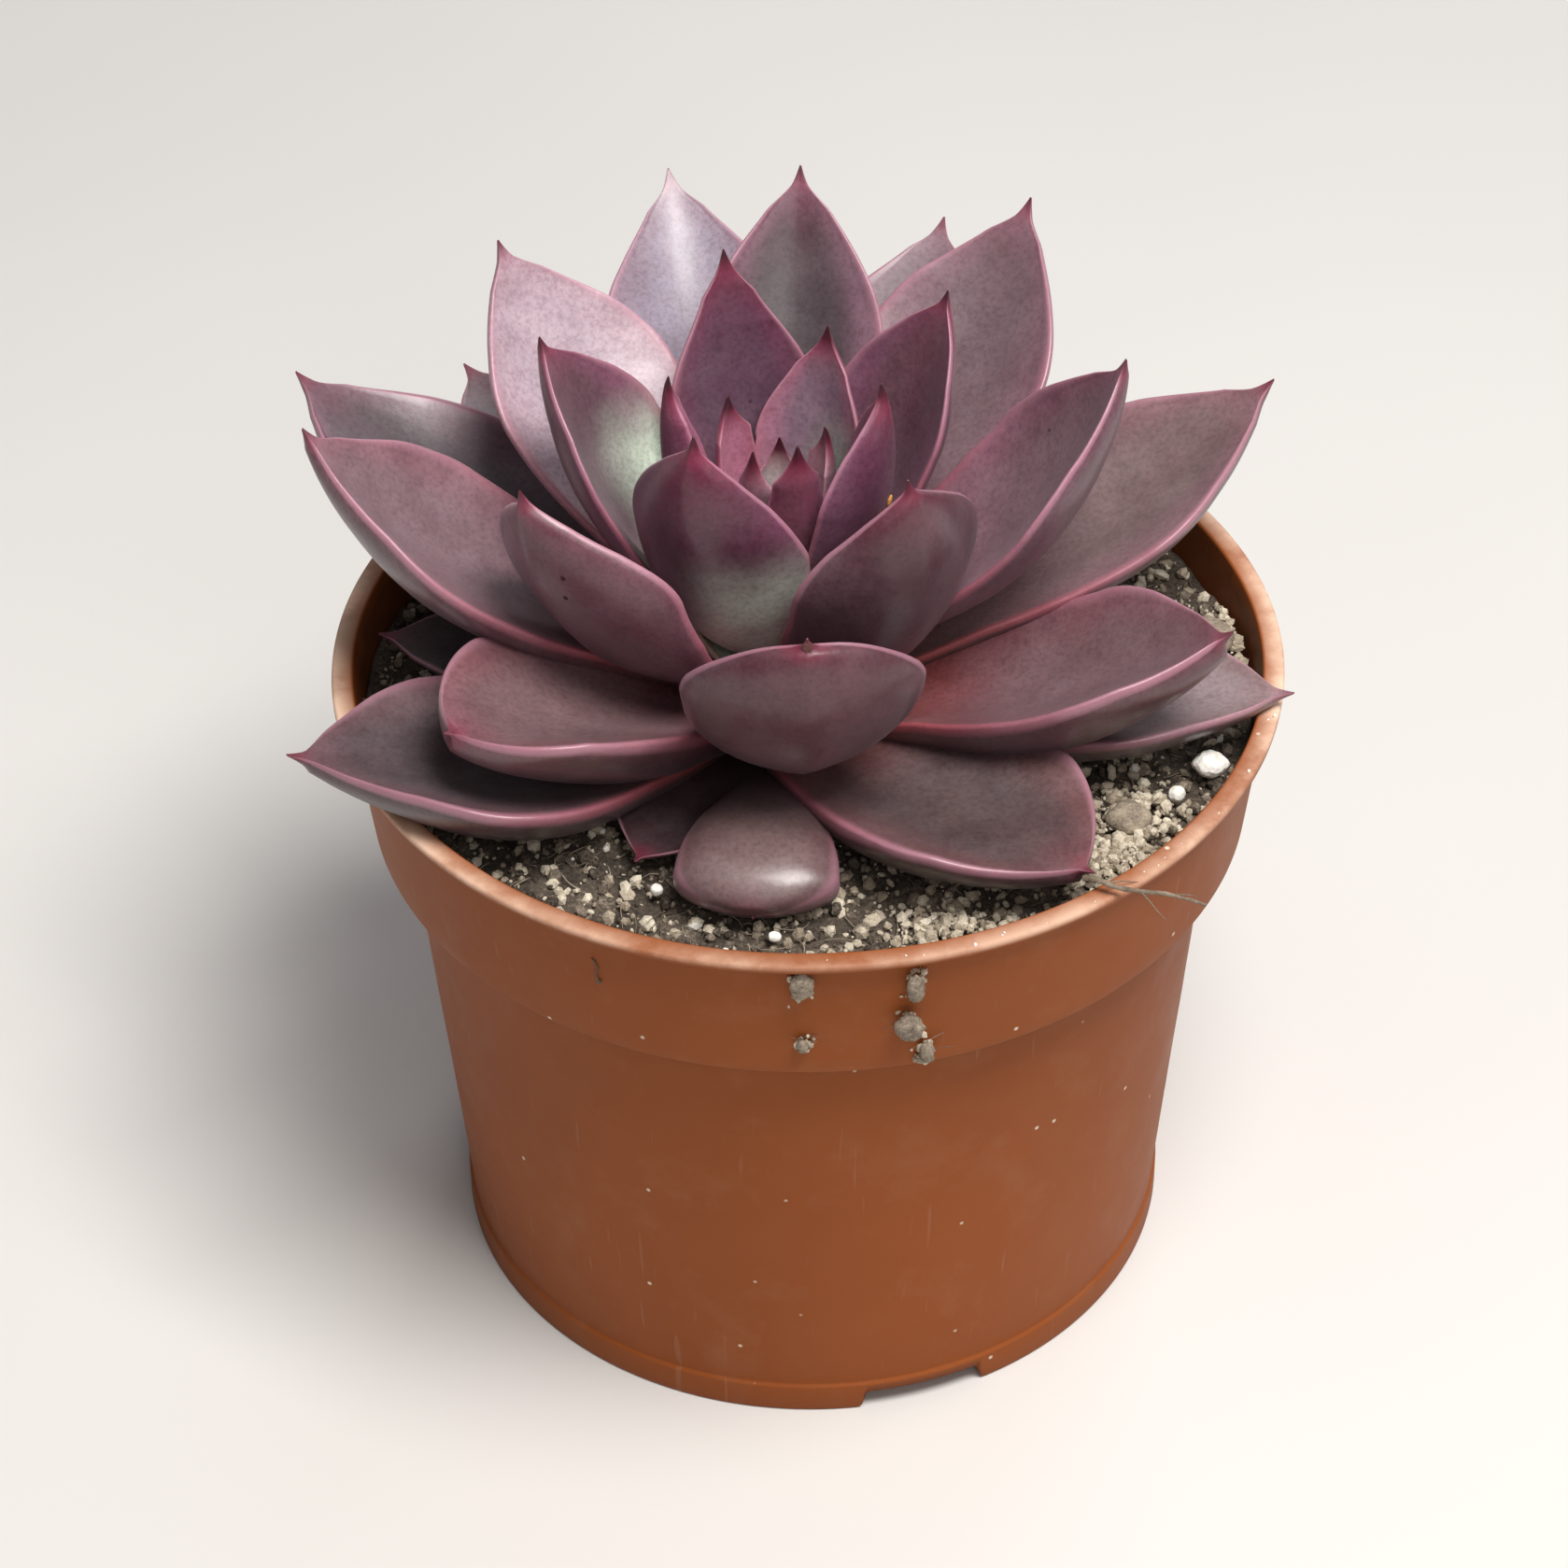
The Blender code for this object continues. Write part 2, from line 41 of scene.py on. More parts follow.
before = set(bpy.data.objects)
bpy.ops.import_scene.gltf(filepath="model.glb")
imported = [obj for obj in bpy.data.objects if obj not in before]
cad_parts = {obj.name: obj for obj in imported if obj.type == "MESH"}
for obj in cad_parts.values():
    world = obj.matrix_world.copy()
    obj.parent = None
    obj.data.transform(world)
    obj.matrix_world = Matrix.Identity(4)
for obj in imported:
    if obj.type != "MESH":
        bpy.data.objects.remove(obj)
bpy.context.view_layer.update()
pot_low, pot_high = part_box("pot")
soil_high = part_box("soil")[1]
PLACE = np.array((0.5 * (pot_low.x + pot_high.x), 0.5 * (pot_low.y + pot_high.y), pot_high.z))
RIM = 0.5 * (pot_high.x - pot_low.x) / MM
TALL = pot_high.z / MM
SOIL = (soil_high.z - pot_high.z) / MM

# The pot's section, in mm.
WALL = 1.1
COLLAR_TOP = RIM - 1.6
COLLAR_FOOT = RIM - 3.8
BODY_TOP = RIM - 7.9
BODY_FOOT = RIM - 13.2
COLLAR_DEEP = 20.4
FOOT_TALL = 4.5
FOOT_WALL = 1.5
FLOOR_LOW = 3.4
FLOOR_HIGH = 4.7
POT_SIDES = 480
# Notches through the foot ring: how many, the bearing of the front one, half its width and how deep it
# is.
NOTCHES = 3
NOTCH_BEARING = 17.6
NOTCH_HALF = 8.0
NOTCH_DEEP = 3.0
# Drain holes through the floor: how many, their radius and the radius of the ring that they lie on.
DRAIN_HOLES = 6
DRAIN_RADIUS = 3.5
DRAIN_RING = 32.0

# The rosette's own axis, and how the stem leans forward below the apex.
HEART = np.array((-3.6, -0.2))
LEAN = 8.0 / 18.0
APEX = 12.0

# Leaves from the heart outwards: bearing of the tip, its reach from the heart and its height above the
# rim, height of the base, width, thickness, slope at the start and at the end, rise of the margins per
# half width and sideways bow. Then the colours of the dusky middle of the leaf, of its flanks and of
# its foot.
LEAVES = [
    (270.0, 2.5, 25.0, 11.5, 4, 1.6, 80, 95, 0.30, 0, "A8B09C", "A8B09C", "C8D4C0"),
    (48.0, 3.0, 26.0, 11.0, 4, 1.6, 80, 95, 0.30, 0, "A8B09C", "A8B09C", "C8D4C0"),
    (175.0, 4.6, 29.7, 10.6, 4, 1.8, 75, 95, 0.40, 0, "C8C4C0", "C8B8BC", "F0FAE8"),
    (323.0, 4.6, 33.5, 10.1, 4.5, 1.8, 75, 95, 0.40, 0, "CCAAB4", "D0B0BC", "F0FAE8"),
    (100.0, 6.0, 33.7, 9.6, 5, 2.0, 72, 95, 0.40, 0, "CCA8B4", "D0ACB8", "ECF8E4"),
    (239.0, 6.7, 36.7, 9.1, 6, 2.2, 70, 95, 0.40, 0, "C884A0", "C87C98", "F0E8EC"),
    (18.0, 8.5, 37.5, 8.6, 8, 2.5, 68, 95, 0.40, 0, "C07C9C", "BC7090", "E8F0E0"),
    (150.0, 12.9, 41.6, 8.2, 14, 3.0, 60, 85, 0.45, 0, "8C7686", "B88098", "C0E0C8"),
    (289.0, 13.4, 45.2, 7.7, 13, 3.0, 62, 88, 0.50, 0, "C488AC", "D088AC", "C4BCC0"),
    (66.0, 13.8, 44.7, 7.2, 17, 3.2, 62, 92, 0.50, 0, "9C7490", "AC7294", "C4BCC0"),
    (198.0, 20.3, 47.6, 6.7, 19, 3.6, 50, 75, 0.35, 0, "62455A", "7A4A62", "98A89C"),
    (333.0, 20.9, 46.5, 6.2, 24, 4.2, 35, 92, 0.40, 0, "864066", "8C4A6E", "DCE4DC"),
    (121.0, 24.7, 45.6, 5.8, 20, 3.8, 48, 75, 0.40, 0, "6C4A58", "80506A", "889088"),
    (261.0, 28.8, 45.0, 5.3, 23, 3.8, 38, 75, 0.40, 0, "6C5660", "8C5C74", "DCF8E0"),
    (33.5, 28.0, 43.4, 4.8, 28, 5.0, 22, 90, 0.36, 2.0, "62444F", "764856", "744A52"),
    (175.0, 37.8, 48.0, 4.3, 23, 4.5, 40, 62, 0.30, 0, "463C42", "8C6C7C", "746A6C"),
    (305.5, 36.8, 41.0, 3.8, 29, 5.0, 20, 75, 0.30, 0, "907080", "A06C7C", "8C5054"),
    (88.0, 42.1, 45.0, 3.4, 26, 4.8, 26, 75, 0.40, 0, "8A6F78", "94687A", "886868"),
    # Leaf 19's pale dusk and flank colours are lightened by a painted sheen over its grey-mauve flesh.
    (228.0, 46.9, 41.4, 2.9, 27, 4.8, 30, 65, 0.32, 0, "C8B8C4", "D0BAC6", "A89694"),
    (5.0, 41.0, 33.8, 4.2, 29, 6.5, 9, 86, 0.25, 0, "583840", "5A323C", "4A2C2E"),
    (143.0, 54.4, 39.2, 1.9, 27, 5.0, 26, 58, 0.30, 0, "7C686E", "8E6C78", "807068"),
    (274.5, 57.1, 38.2, 1.4, 27, 6.0, 16, 62, 0.35, 0, "887278", "946E78", "945250"),
    (67.0, 59.3, 20.4, -1.0, 26, 7.5, 2, 42, 0.40, 0, "7A6064", "805860", "943F36"),
    (193.0, 63.0, 32.8, 0.5, 27, 5.0, 22, 45, 0.28, 0, "9E96A8", "A090A0", "887E7A"),
    (311.0, 52.5, 15.0, -2.0, 27, 8.5, 8, 22, 0.40, 0, "806668", "885E64", "983F38"),
    (109.0, 66.4, 25.8, -0.5, 29, 5.5, 14, 40, 0.30, 0, "806C6C", "907076", "885C54"),
    (245.0, 67.8, 23.6, -1.0, 29, 5.5, 12, 40, 0.30, 0, "4E444A", "745864", "845856"),
    (40.0, 58.2, 1.0, -3.0, 28, 8.0, -5, 4, 0.33, -3, "5C4E4E", "745252", "963F34"),
    (161.5, 71.0, 21.0, -1.9, 28, 5.0, 12, 32, 0.25, 0, "847A80", "947E88", "80706A"),
    (296.0, 66.0, 7.5, -2.4, 30, 7.5, -4, 16, 0.30, 5, "544B4D", "6C5256", "84443A"),
    (79.0, 65.0, 2.3, -2.5, 26, 6.0, -4, 8, 0.30, 0, "9A8E90", "907C7A", "644440"),
    (220.0, 65.0, 10.0, -2.5, 28, 5.0, 6, 15, 0.22, 0, "5C5254", "6C5A5E", "604440"),
    (356.0, 46.5, -4.2, -6.0, 20, 11.0, 4, -40, 0.00, 0, "7A6664", "705656", "54342F"),
    (129.0, 55.6, 3.2, -2.5, 24, 4.0, 4, 5, 0.20, 0, "544846", "544846", "4C3834"),
    (267.0, 50.7, 1.3, -2.5, 18, 3.5, 0, 6, 0.20, 0, "4C4444", "4C4444", "40342F"),
    (334.0, 40.0, -4.0, -4.5, 17, 2.5, 0, -4, 0.15, 0, "3C2A2C", "402A2C", "3C2624"),
]
# The outline: where a leaf is widest and how bluntly it closes, for leaves near the heart, for the
# others and for those unlike their neighbours.
YOUNG = (0.48, 1.5)
GROWN = (0.60, 0.95)
OUTLINES = {
    8: (0.55, 1.2), 10: (0.58, 1.1), 11: (0.55, 1.2), 12: (0.60, 1.1), 15: (0.62, 1.05),
    17: (0.60, 1.15), 20: (0.72, 0.50), 23: (0.64, 0.90), 25: (0.72, 0.50), 28: (0.70, 0.72),
    33: (0.78, 0.50),
}
# The flesh: how far the leaf's start and its end pull on the midrib, how bluntly the flesh thins
# towards the point, and the share of it above the midrib.
FLESH = (0.42, 0.38, 0.6, 0.22)
FLESHES = {
    20: (0.50, 0.42, 0.5, 0.22), 23: (0.42, 0.38, 0.5, 0.22), 25: (0.42, 0.38, 0.45, 0.22),
    28: (0.42, 0.38, 0.5, 0.22), 33: (0.42, 0.30, 0.33, 0.46),
}
LAST_YOUNG = 11
# Leaves with one flank that its neighbour shaded as it grew, so it stayed green: side and colour.
# The pale green is the leaves' own. On leaves 12 and 14 it is lightened to near white by painted light
# falling between the leaves.
FLANKS = {
    8: [(-1, "94B49C")],
    12: [(1, "D8E8D8")],
    14: [(-1, "E4FFE8")],
}
# Leaves whose foot starts further in than the others: distance from the stem's axis.
FEET = {25: -1.0, 28: -6.0, 33: 11.0}
# Leaves with a broad foot: its share of the leaf's width.
BROAD = {14: 1.0}
# Leaves whose face turns sideways towards the tip, in degrees.
TWISTS = {17: 18}
# Old wounds under a leaf: leaf, share of its length, share of its half width, radius in mm, shade from
# dark (0) to amber (1).
SCARS = [
    (10, 0.565, 0.02, 0.85, 0.9),
    (10, 0.54, -0.2, 1.1, 0.15),
    (17, 0.78, 0.42, 0.38, 0.1),
    (17, 0.72, 0.26, 0.34, 0.1),
    (20, 0.985, 0.0, 0.8, 0.3),
]
# The leaf at the front that is bent so far up that its under face is in the light.
BENT = 20
# Painted shade on the under face of a leaf: how much of its red, green, blue and alpha it loses.
UNDER_PAINTED_SHADE = (0.62, 0.68, 0.66, 0.0)
LEAF_RINGS = 72
LEAF_SIDES = 48


def linear(hex_colour):
    """An sRGB hex colour as linear red, green, blue and alpha."""
    shares = [int(hex_colour[i : i + 2], 16) / 255 for i in (0, 2, 4)]
    return (*(c / 12.92 if c <= 0.04045 else ((c + 0.055) / 1.055) ** 2.4 for c in shares), 1.0)


def ease(low, high, x):
    """0 below low, 1 above high, and a smooth S between."""
    share = np.clip((x - low) / (high - low), 0.0, 1.0)
    return share * share * (3.0 - 2.0 * share)


def noise(points, cell, seed):
    """Smooth noise from 0 to 1: a fixed random value at each corner of a lattice of this cell size,
    blended between the eight nearest corners with eased weights."""
    place = np.asarray(points, float) / cell
    corner = np.floor(place).astype(np.int64)
    part = place - corner
    part = part * part * (3.0 - 2.0 * part)
    total = np.zeros(place.shape[:-1])
    for offset in np.ndindex(2, 2, 2):
        at = corner + offset
        mixed = at[..., 0] * 73856093 ^ at[..., 1] * 19349663 ^ at[..., 2] * 83492791
        mixed = mixed ^ seed * 2971215073
        mixed = (mixed ^ (mixed >> 13)) * 1274126177
        value = ((mixed ^ (mixed >> 16)) & 0xFFFFFF) / 0xFFFFFF
        total += value * np.prod(np.where(offset, part, 1.0 - part), axis=-1)
    return total


def rough(points, cell, seed, octaves=3):
    """Layers of noise from -1 to 1, each twice as fine and half as strong as the one before."""
    total, weight, most = 0.0, 1.0, 0.0
    for layer in range(octaves):
        total = total + weight * (2.0 * noise(points, cell / 2**layer, seed + layer) - 1.0)
        most += weight
        weight *= 0.5
    return total / most


def on_bearing(bearing, distance, height=0.0):
    """The point or points at a bearing, a distance from the pot's axis and a height, in mm."""
    angle = np.radians(bearing)
    across, back = distance * np.sin(angle), -distance * np.cos(angle)
    return np.stack(np.broadcast_arrays(across, back, height), axis=-1).astype(float)


def ring_faces(rings, sides):
    """The quads between neighbouring rings of points."""
    ring = np.arange(rings - 1)[:, None] * sides
    side = np.arange(sides)[None, :]
    following = (side + 1) % sides
    corners = (ring + side, ring + following, ring + sides + following, ring + sides + side)
    return np.stack(corners, axis=-1).reshape(-1, 4)


def add(name, data):
    """A new object in the scene."""
    made = bpy.data.objects.new(name, data)
    bpy.context.scene.collection.objects.link(made)
    return made


def piece(name, points, faces, finish, slot, replaced=(), **values):
    """An object of points in mm and lists of faces, riding on the root body. Each value becomes an
    attribute of the points: a number, or a colour where it has four columns."""
    mesh = bpy.data.meshes.new(name)
    mesh.from_pydata((np.reshape(points, (-1, 3)) * MM + PLACE).tolist(), [], faces)
    mesh.shade_smooth()
    for key, array in values.items():
        array = np.asarray(array, np.float32)
        colour = array.shape[-1:] == (4,) and array.ndim > 1
        layer = mesh.attributes.new(key, "FLOAT_COLOR" if colour else "FLOAT", "POINT")
        layer.data.foreach_set("color" if colour else "value", array.ravel())
    mesh.materials.append(finish)
    made = add(name, mesh)
    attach(made, "root")
    if replaced:
        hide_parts(*replaced)
    return made


def capped(rings):
    """The points and faces of rings closed by a fan at each end."""
    count, sides = rings.shape[:2]
    points = np.vstack((rings.reshape(-1, 3), rings[0].mean(axis=0), rings[-1].mean(axis=0)))
    quads = ring_faces(count, sides)
    side = np.arange(sides)
    following = (side + 1) % sides
    last = (count - 1) * sides
    start = np.stack((np.full(sides, count * sides), following, side), axis=-1)
    end = np.stack((np.full(sides, count * sides + 1), last + side, last + following), axis=-1)
    return points, quads.tolist() + start.tolist() + end.tolist()


def merged(solids):
    """The points and faces of several solids as one."""
    points, faces, total = [], [], 0
    for its_points, its_faces in solids:
        points.append(its_points)
        faces += [[i + total for i in face] for face in its_faces]
        total += len(its_points)
    return np.vstack(points), faces


def unit(vectors):
    """Vectors brought to length one."""
    return vectors / np.linalg.norm(vectors, axis=-1, keepdims=True)


def with_ends(values):
    """Ring values with one more for each end point that capped() adds."""
    return np.concatenate((values.reshape(-1), (values[0].mean(), values[-1].mean())))


# -------------------- materials


def new_material(name):
    """An empty Principled material, its shader and the place on the object, in metres."""
    made = bpy.data.materials.new(name)
    made.use_nodes = True
    return made, made.node_tree.nodes["Principled BSDF"], node(made, "TexCoord").outputs["Object"]


def node(material, kind, links=None, **settings):
    """Adds a node. Settings named like a socket, with _ for a space, give its value; others are the
    node's own. Links join sockets to other nodes' outputs."""
    made = material.node_tree.nodes.new("ShaderNode" + kind)
    for key, value in settings.items():
        if hasattr(made, key):
            setattr(made, key, value)
        else:
            made.inputs[key.replace("_", " ")].default_value = value
    for socket, source in (links or {}).items():
        join(material, source, made.inputs[socket])
    return made


def join(material, source, target):
    """Links an output to an input."""
    material.node_tree.links.new(source, target)


def ramp(material, source, stops):
    """A colour ramp through (place, hex colour) stops."""
    made = node(material, "ValToRGB", {"Fac": source})
    elements = made.color_ramp.elements
    while len(elements) < len(stops):
        elements.new(0.5)
    for element, (place, colour) in zip(elements, stops):
        element.position = place
        element.color = linear(colour)
    return made.outputs["Color"]


def attribute(material, name, output="Fac"):
    """An attribute that the points of the mesh carry."""
    return node(material, "Attribute", attribute_name=name).outputs[output]


def noise_at(material, place, scale, **settings):
    """Noise over a place, with the scale in cells to the metre."""
    return node(material, "TexNoise", {"Vector": place}, Scale=scale, **settings).outputs["Fac"]


def remap(material, source, low, high, to_low=0.0, to_high=1.0, **settings):
    """A value carried over from the range low to high on to another range."""
    made = node(material, "MapRange", {"Value": source}, From_Min=low, From_Max=high,
                To_Min=to_low, To_Max=to_high, **settings)
    return made.outputs["Result"]


def maths(material, operation, first, second):
    """Two values worked together. The second may be a plain number."""
    made = node(material, "Math", {0: first}, operation=operation)
    if isinstance(second, float):
        made.inputs[1].default_value = second
    else:
        join(material, second, made.inputs[1])
    return made.outputs[0]


def over(material, below, above, share, blend="MIX"):
    """A share of one colour laid over another. The colour above may be hex, and the share a plain
    number."""
    made = node(material, "Mix", {6: below}, data_type="RGBA", blend_type=blend)
    if isinstance(above, str):
        made.inputs[7].default_value = linear(above)
    else:
        join(material, above, made.inputs[7])
    if isinstance(share, float):
        made.inputs[0].default_value = share
    else:
        join(material, share, made.inputs[0])
    return made.outputs[2]


def dots(material, place, scale, core, rim, rarity):
    """Scattered round dots: full out to the core, gone at the rim, and only in cells whose own random
    value is over the rarity."""
    cells = node(material, "TexVoronoi", {"Vector": place}, Scale=scale)
    dot = remap(material, cells.outputs["Distance"], core, rim, 1.0, 0.0)
    chance = node(material, "TexWhiteNoise", {"Vector": cells.outputs["Position"]}).outputs["Value"]
    return maths(material, "MULTIPLY", dot, maths(material, "GREATER_THAN", chance, rarity))


def bump(material, height, strength, distance, links=None):
    """A bumped normal. The distance is in metres."""
    return node(material, "Bump", {"Height": height, **(links or {})}, Strength=strength,
                Distance=distance).outputs[0]


def finished(material, shader, colour, normal=None, **values):
    """Gives the shader its colour and normal, and values named like its sockets, and returns the
    material."""
    join(material, colour, shader.inputs["Base Color"])
    if normal:
        join(material, normal, shader.inputs["Normal"])
    for key, value in values.items():
        shader.inputs[key.replace("_", " ")].default_value = value
    return material


def leaf_material():
    """Living leaf skin under a bloom of wax: satin, a little light passes through the flesh, and the
    margins and the hard point are redder than the flat of the leaf."""
    made, shader, place = new_material("waxy_leaf_skin")
    # Blotches a few millimetres wide, where the flesh is greyer or redder.
    blotch = noise_at(made, place, 170.0, Detail=3.0, Roughness=0.55)
    tone = ramp(made, blotch, [(0.30, "D8CCCE"), (0.52, "ECE4E6"), (0.72, "FFFAF8")])
    skin = over(made, attribute(made, "tint", "Color"), tone, 0.8, "MULTIPLY")
    # The wax bloom: a pale dusty film broken up by patches 8 mm across and rubbed thin in places.
    film = noise_at(made, place, 115.0, Detail=5.0, Roughness=0.62)
    skin = over(made, skin, "B4A6AE", remap(made, film, 0.38, 0.75, 0.01, 0.13))
    # Speckle: the skin is peppered with darker cells, 0.3 to 0.8 mm across.
    pepper = noise_at(made, place, 1500.0, Detail=3.0, Roughness=0.7)
    speckle = ramp(made, pepper, [(0.34, "C0B4B8"), (0.55, "F4F0F1"), (0.70, "FFFFFF")])
    skin = over(made, skin, speckle, 0.6, "MULTIPLY")
    # The margin, a pink line a millimetre wide that is coral near the foot and pale further up.
    pink = ramp(made, attribute(made, "along"), [(0.05, "A8443C"), (0.35, "AE5868"), (0.75, "B88496")])
    line = remap(made, attribute(made, "edge"), 0.84, 0.985, interpolation_type="SMOOTHSTEP")
    skin = over(made, skin, pink, maths(made, "MULTIPLY", line, 0.55))
    # The hard point is crimson, then nearly black.
    spine = attribute(made, "spine")
    horn = ramp(made, spine, [(0.10, "9C3050"), (0.45, "6C1834"), (0.95, "300C18")])
    skin = over(made, skin, horn, remap(made, spine, 0.05, 0.75, 0.0, 0.95))
    # Pits: dark dots about 0.4 mm across, on a few cells in a hundred.
    skin = over(made, skin, "3A2428", dots(made, place, 190.0, 0.035, 0.075, 0.93))
    join(made, remap(made, film, 0.3, 0.75, 0.34, 0.52), shader.inputs["Roughness"])
    # Skin cells and faint dimples: 0.3 mm grain over 2.5 mm dimples.
    fine = bump(made, noise_at(made, place, 3300.0, Detail=2.0), 0.10, 0.2 * MM)
    broad = bump(made, noise_at(made, place, 400.0, Detail=2.0), 0.12, 0.8 * MM, {"Normal": fine})
    return finished(made, shader, skin, broad, IOR=1.45, Subsurface_Weight=0.2, Subsurface_Scale=2 * MM,
                    Subsurface_Radius=(1.0, 0.35, 0.3), Coat_Weight=0.35, Coat_Roughness=0.24,
                    Sheen_Weight=0.06, Sheen_Roughness=0.45, Sheen_Tint=linear("E6DCE4"))


def pot_material():
    """Moulded polypropylene coloured like terracotta: smooth and satin, scuffed by handling, with pale
    scratches, dried water film and soil dust."""
    made, shader, place = new_material("moulded_polypropylene_terracotta")
    skin = ramp(made, noise_at(made, place, 28.0, Detail=3.0), [(0.3, "8C4A22"), (0.7, "945026")])
    # Dust and lime film in patches, 6 to 20 mm across.
    film = noise_at(made, place, 85.0, Detail=6.0, Roughness=0.65)
    skin = over(made, skin, "C9A68C", remap(made, film, 0.52, 0.85, 0.0, 0.14))
    # Scratches about 1 mm wide: noise pulled out into thin streaks at two slants.
    for turn, long in ((0.35, 5.0), (-0.9, 7.0)):
        slant = node(made, "Mapping", {"Vector": place}, Rotation=(0.0, turn, turn),
                     Scale=(900.0, 900.0, 900.0 / (6 * long)))
        streak = noise_at(made, slant.outputs[0], 1.0, Detail=1.0)
        skin = over(made, skin, "DDBBA4", remap(made, streak, 0.74, 0.80, 0.0, 0.07))
    # Specks of dried soil, 0.3 to 0.8 mm.
    skin = over(made, skin, "E2D2C0", dots(made, place, 260.0, 0.04, 0.10, 0.84))
    # The lip is rubbed pale, and a painted highlight makes it paler at the left and right than at the
    # front.
    # Painted shade darkens the corner under the collar step, dirt darkens the foot, and the inside is
    # darker.
    patchy = remap(made, film, 0.35, 0.6, 0.2, 0.9)
    # Wear on the lip, with a painted highlight at its left and right.
    skin = over(made, skin, "ECCAB2", maths(made, "MULTIPLY", attribute(made, "rubbed"), patchy))
    skin = over(made, skin, "4A3024", maths(made, "MULTIPLY", attribute(made, "grime"), film))
    join(made, remap(made, film, 0.3, 0.75, 0.42, 0.62), shader.inputs["Roughness"])
    grain = bump(made, noise_at(made, place, 1800.0, Detail=3.0), 0.08, 0.2 * MM)
    return finished(made, shader, skin, grain, IOR=1.49, Specular_IOR_Level=0.12)


def earth_material(name, grain_size, stops):
    """Dry peat, bark or root: dull, its colour following each crumb's own shade, with a fibrous grain
    whose size is in mm."""
    made, shader, place = new_material(name)
    grain = noise_at(made, place, 1.0 / (grain_size * MM), Detail=4.0, Roughness=0.7)
    offset = remap(made, grain, 0.25, 0.75, -0.22, 0.22)
    tone = ramp(made, maths(made, "ADD", attribute(made, "shade"), offset), stops)
    return finished(made, shader, tone, bump(made, grain, 0.6, 0.4 * MM), Roughness=0.95,
                    Specular_IOR_Level=0.25)


def perlite_material():
    """Expanded volcanic glass: chalk white, full of pin holes, and dusted with peat in patches."""
    made, shader, place = new_material("expanded_perlite")
    holes = node(made, "TexVoronoi", {"Vector": place}, Scale=1600.0).outputs["Distance"]
    dirt = noise_at(made, place, 500.0, Detail=4.0)
    tone = ramp(made, dirt, [(0.3, "D8D0C4"), (0.45, "F4F0E8"), (0.7, "FFFFFA")])
    return finished(made, shader, tone, bump(made, holes, 0.5, 0.3 * MM), Roughness=0.85,
                    Subsurface_Weight=0.1, Subsurface_Scale=0.6 * MM)


def floor_material():
    """A painted studio board: matt, pale and even."""
    made, shader, place = new_material("matt_painted_board")
    tone = ramp(made, noise_at(made, place, 6.0, Detail=2.0), [(0.3, "D8D6D3"), (0.7, "DCDAD7")])
    return finished(made, shader, tone, Roughness=0.9)


# -------------------- the pot


def pot_sections():
    """The pot's section as (radius, height above the table) corners with the radius that each is
    rounded to, from the middle of the floor's underside round the outside and inside to the floor's
    top."""
    step = TALL - COLLAR_DEEP
    foot = BODY_FOOT + 0.4
    return [
        (0.0, FLOOR_LOW, 0.0), (foot - FOOT_WALL, FLOOR_LOW, 0.5), (foot - FOOT_WALL, 0.0, 0.3),
        (foot, 0.0, 0.5), (foot, FOOT_TALL - 0.3, 0.15), (BODY_FOOT, FOOT_TALL + 0.1, 0.2),
        (BODY_TOP, step, 0.5), (COLLAR_FOOT, step, 0.45), (COLLAR_TOP, TALL - 1.3, 0.35),
        (RIM, TALL - 1.25, 0.45), (RIM, TALL, 0.5), (COLLAR_TOP - WALL, TALL, 0.4),
        (COLLAR_FOOT - WALL, step + WALL, 0.8), (BODY_TOP - WALL, step + WALL, 0.5),
        (BODY_FOOT - WALL, FLOOR_HIGH, 0.8), (0.0, FLOOR_HIGH, 0.0),
    ]


def rounded_profile(corners, arc=5, gap=2.2):
    """A profile through the corners: each corner is cut back by its radius and replaced by a quadratic
    arc, and the straight runs are divided into steps no longer than the gap."""
    points = []
    places = np.array([corner[:2] for corner in corners])
    for i, (here, radius) in enumerate(zip(places, [corner[2] for corner in corners])):
        if radius == 0.0:
            points.append(here)
            continue
        before, after = places[i - 1] - here, places[i + 1] - here
        start = here + before / np.linalg.norm(before) * radius
        end = here + after / np.linalg.norm(after) * radius
        share = np.linspace(0, 1, arc)[:, None]
        points.extend((1 - share) ** 2 * start + 2 * (1 - share) * share * here + share**2 * end)
    profile = [points[0]]
    for end in points[1:]:
        steps = max(1, math.ceil(np.linalg.norm(end - profile[-1]) / gap))
        start = profile[-1]
        profile.extend(start + (end - start) * k / steps for k in range(1, steps + 1))
    return np.array(profile)


